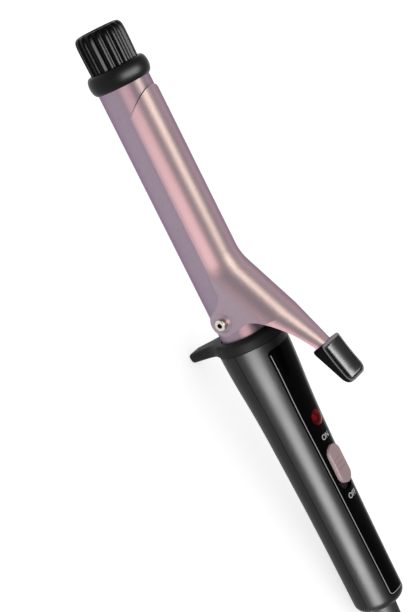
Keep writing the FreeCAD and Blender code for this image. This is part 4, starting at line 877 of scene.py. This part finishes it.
# %% [markdown]
# ## From outline to line
# A first inset gives the margin outside the line, which is deleted. A second leaves the line as a frame a
# third of a millimetre wide, and its inside is deleted too. The ring's end is then opened, and the frame is
# cut lengthways, so that its cross stretch has corners enough to follow the inlay's curve.

# %% Painted highlight line
LINE_MARGIN, LINE_WIDTH, LINE_OPEN = 0.45, 0.32, 2.4
LENGTHWAYS_CUTS = range(-9, 10)
bpy.ops.mesh.select_mode(type="FACE")
bpy.ops.mesh.select_all(action="SELECT")
bpy.ops.mesh.inset(thickness=LINE_MARGIN * MM)
bpy.ops.mesh.select_all(action="INVERT")
bpy.ops.mesh.delete(type="FACE")
bpy.ops.mesh.select_all(action="SELECT")
bpy.ops.mesh.inset(thickness=LINE_WIDTH * MM)
bpy.ops.mesh.delete(type="FACE")
select_faces(border, lambda p, n: p.x < INLAY_START + LINE_OPEN)
bpy.ops.mesh.delete(type="FACE")
bpy.ops.mesh.select_mode(type="VERT")
cut_across(ACROSS, LENGTHWAYS_CUTS)
print_on_inlay(border, edge_highlight_ink)

# %% [markdown]
# ## Switch words
# The two ends of the slot carry the words that any slide switch has. Each is typed flat, thickened a little
# so that it reads like the bold print, and made a mesh before it is turned and printed.

# %% Switch words
WORDS = (("ON", 59.2), ("OFF", 90.0))
LETTER_SIZE, LETTER_WEIGHT = 3.7, 0.04
for word, along in WORDS:
    bpy.ops.object.select_all(action="DESELECT")
    bpy.ops.object.text_add(location=(0, 0, 0))
    letters = bpy.context.active_object
    letters.data.body = word
    letters.data.size = LETTER_SIZE * MM
    letters.data.offset = LETTER_WEIGHT * MM
    letters.data.align_x = "CENTER"
    letters.data.align_y = "CENTER"
    bpy.ops.object.convert(target="MESH")
    letters = start_piece("printed_" + word.lower())
    bpy.ops.mesh.select_all(action="SELECT")
    bpy.ops.transform.rotate(value=math.radians(-90), orient_axis="Z", center_override=(0, 0, 0))
    bpy.ops.transform.translate(value=ALONG * along * MM)
    print_on_inlay(letters, white_print)

# %% [markdown]
# ## Floor and air
# The photograph has a white ground with only a faint shadow. The floor is a wide sheet of paper that glows a
# little, so that it stays white, and a pale world fills the shadows. The floor is so wide that its edge
# isn't seen from low views either.

# %% Floor and air
FLOOR_SIZE, FLOOR_GLOW, AIR_LIGHT = 80, 0.68, 0.5
bpy.ops.object.select_all(action="DESELECT")
bpy.ops.mesh.primitive_plane_add(size=FLOOR_SIZE, location=(0, 0, 0))
floor = bpy.context.active_object
floor.name = "studio_floor"
paper = finish("white_studio_paper", base_color=linear("#f4f4f4"), roughness=0.9, specular_ior_level=0.0,
               emission_color=linear("#ffffff"), emission_strength=FLOOR_GLOW)[0]
floor.data.materials.append(paper)

world = bpy.data.worlds.new("studio_air")
bpy.context.scene.world = world
world.use_nodes = True
world.node_tree.nodes["Background"].inputs["Color"].default_value = linear("#ffffff")
world.node_tree.nodes["Background"].inputs["Strength"].default_value = AIR_LIGHT
bpy.context.scene.view_settings.view_transform = "Standard"
print("floor", FLOOR_SIZE, "m wide")

# %% [markdown]
# ## Softboxes
# The photograph was lit by long softboxes that lie along the iron. On a round barrel such a box shows as a
# band, half way round between the camera and the box, so each box is placed by its angle about the barrel.
# In a studio, flags between the lamps keep each light off the pieces that it isn't meant for. Here each
# light is linked to a group of pieces instead, and it shows only in highlights.

# %% Softboxes
BOX_DISTANCE = 0.8


def softbox(name, degrees, along, length, width, power, code, lit):
    """A long area light beside the iron: its angle from the lever's side to the camera's, and its group."""
    data = bpy.data.lights.new(name, "AREA")
    data.shape = "RECTANGLE"
    data.size = length
    data.size_y = width
    data.energy = power
    data.color = linear(code)[:3]
    light = bpy.data.objects.new(name, data)
    light.visible_diffuse = False
    light.light_linking.receiver_collection = lit
    bpy.context.scene.collection.objects.link(light)
    out = Vector((0, -math.sin(math.radians(degrees)), math.cos(math.radians(degrees))))
    basis = Matrix((ALONG, out.cross(ALONG), out)).transposed().to_4x4()
    light.matrix_world = placed(along, 0, 0) @ Matrix.Translation(out * BOX_DISTANCE) @ basis


def lit_pieces(name, pieces):
    """A group of pieces for a light."""
    group = bpy.data.collections.new(name)
    for piece in pieces:
        group.objects.link(piece)
    return group


HANDLE_SIDE = ("handle_upper_shell", "handle_lower_shell", "switch_panel", "cord_gland", "stand_ring",
               "indicator_lens")
TIP_SIDE = ("tip_collar", "tip_knob", "tip_cap")
BARREL_SIDE = [name for name in nodes if name not in HANDLE_SIDE + TIP_SIDE]
handle_side = lit_pieces("handle_side", [nodes[name] for name in HANDLE_SIDE] + [button, ring])
tip_side = lit_pieces("tip_side", [nodes[name] for name in TIP_SIDE] + [knob, collar])
barrel_side = lit_pieces("barrel_side", [nodes[name] for name in BARREL_SIDE] + [leaf])
pad_side = lit_pieces("pad_side", [pad])
softbox("top_box", -9, -375, 1.05, 0.30, 4.9, "#fffad6", barrel_side)
softbox("front_box", 58, 80, 0.36, 0.64, 2.5, "#ffdccc", barrel_side)
softbox("back_box", -65, -275, 1.05, 0.5, 1.4, "#ffe6e0", barrel_side)
softbox("side_box", 71, 440, 0.58, 0.62, 36.0, "#ffffff", handle_side)
softbox("tip_box", 10, 30, 0.4, 1.1, 44.0, "#ffffff", tip_side)
softbox("pad_box", -48, 60, 0.5, 0.14, 20.0, "#ffffff", pad_side)
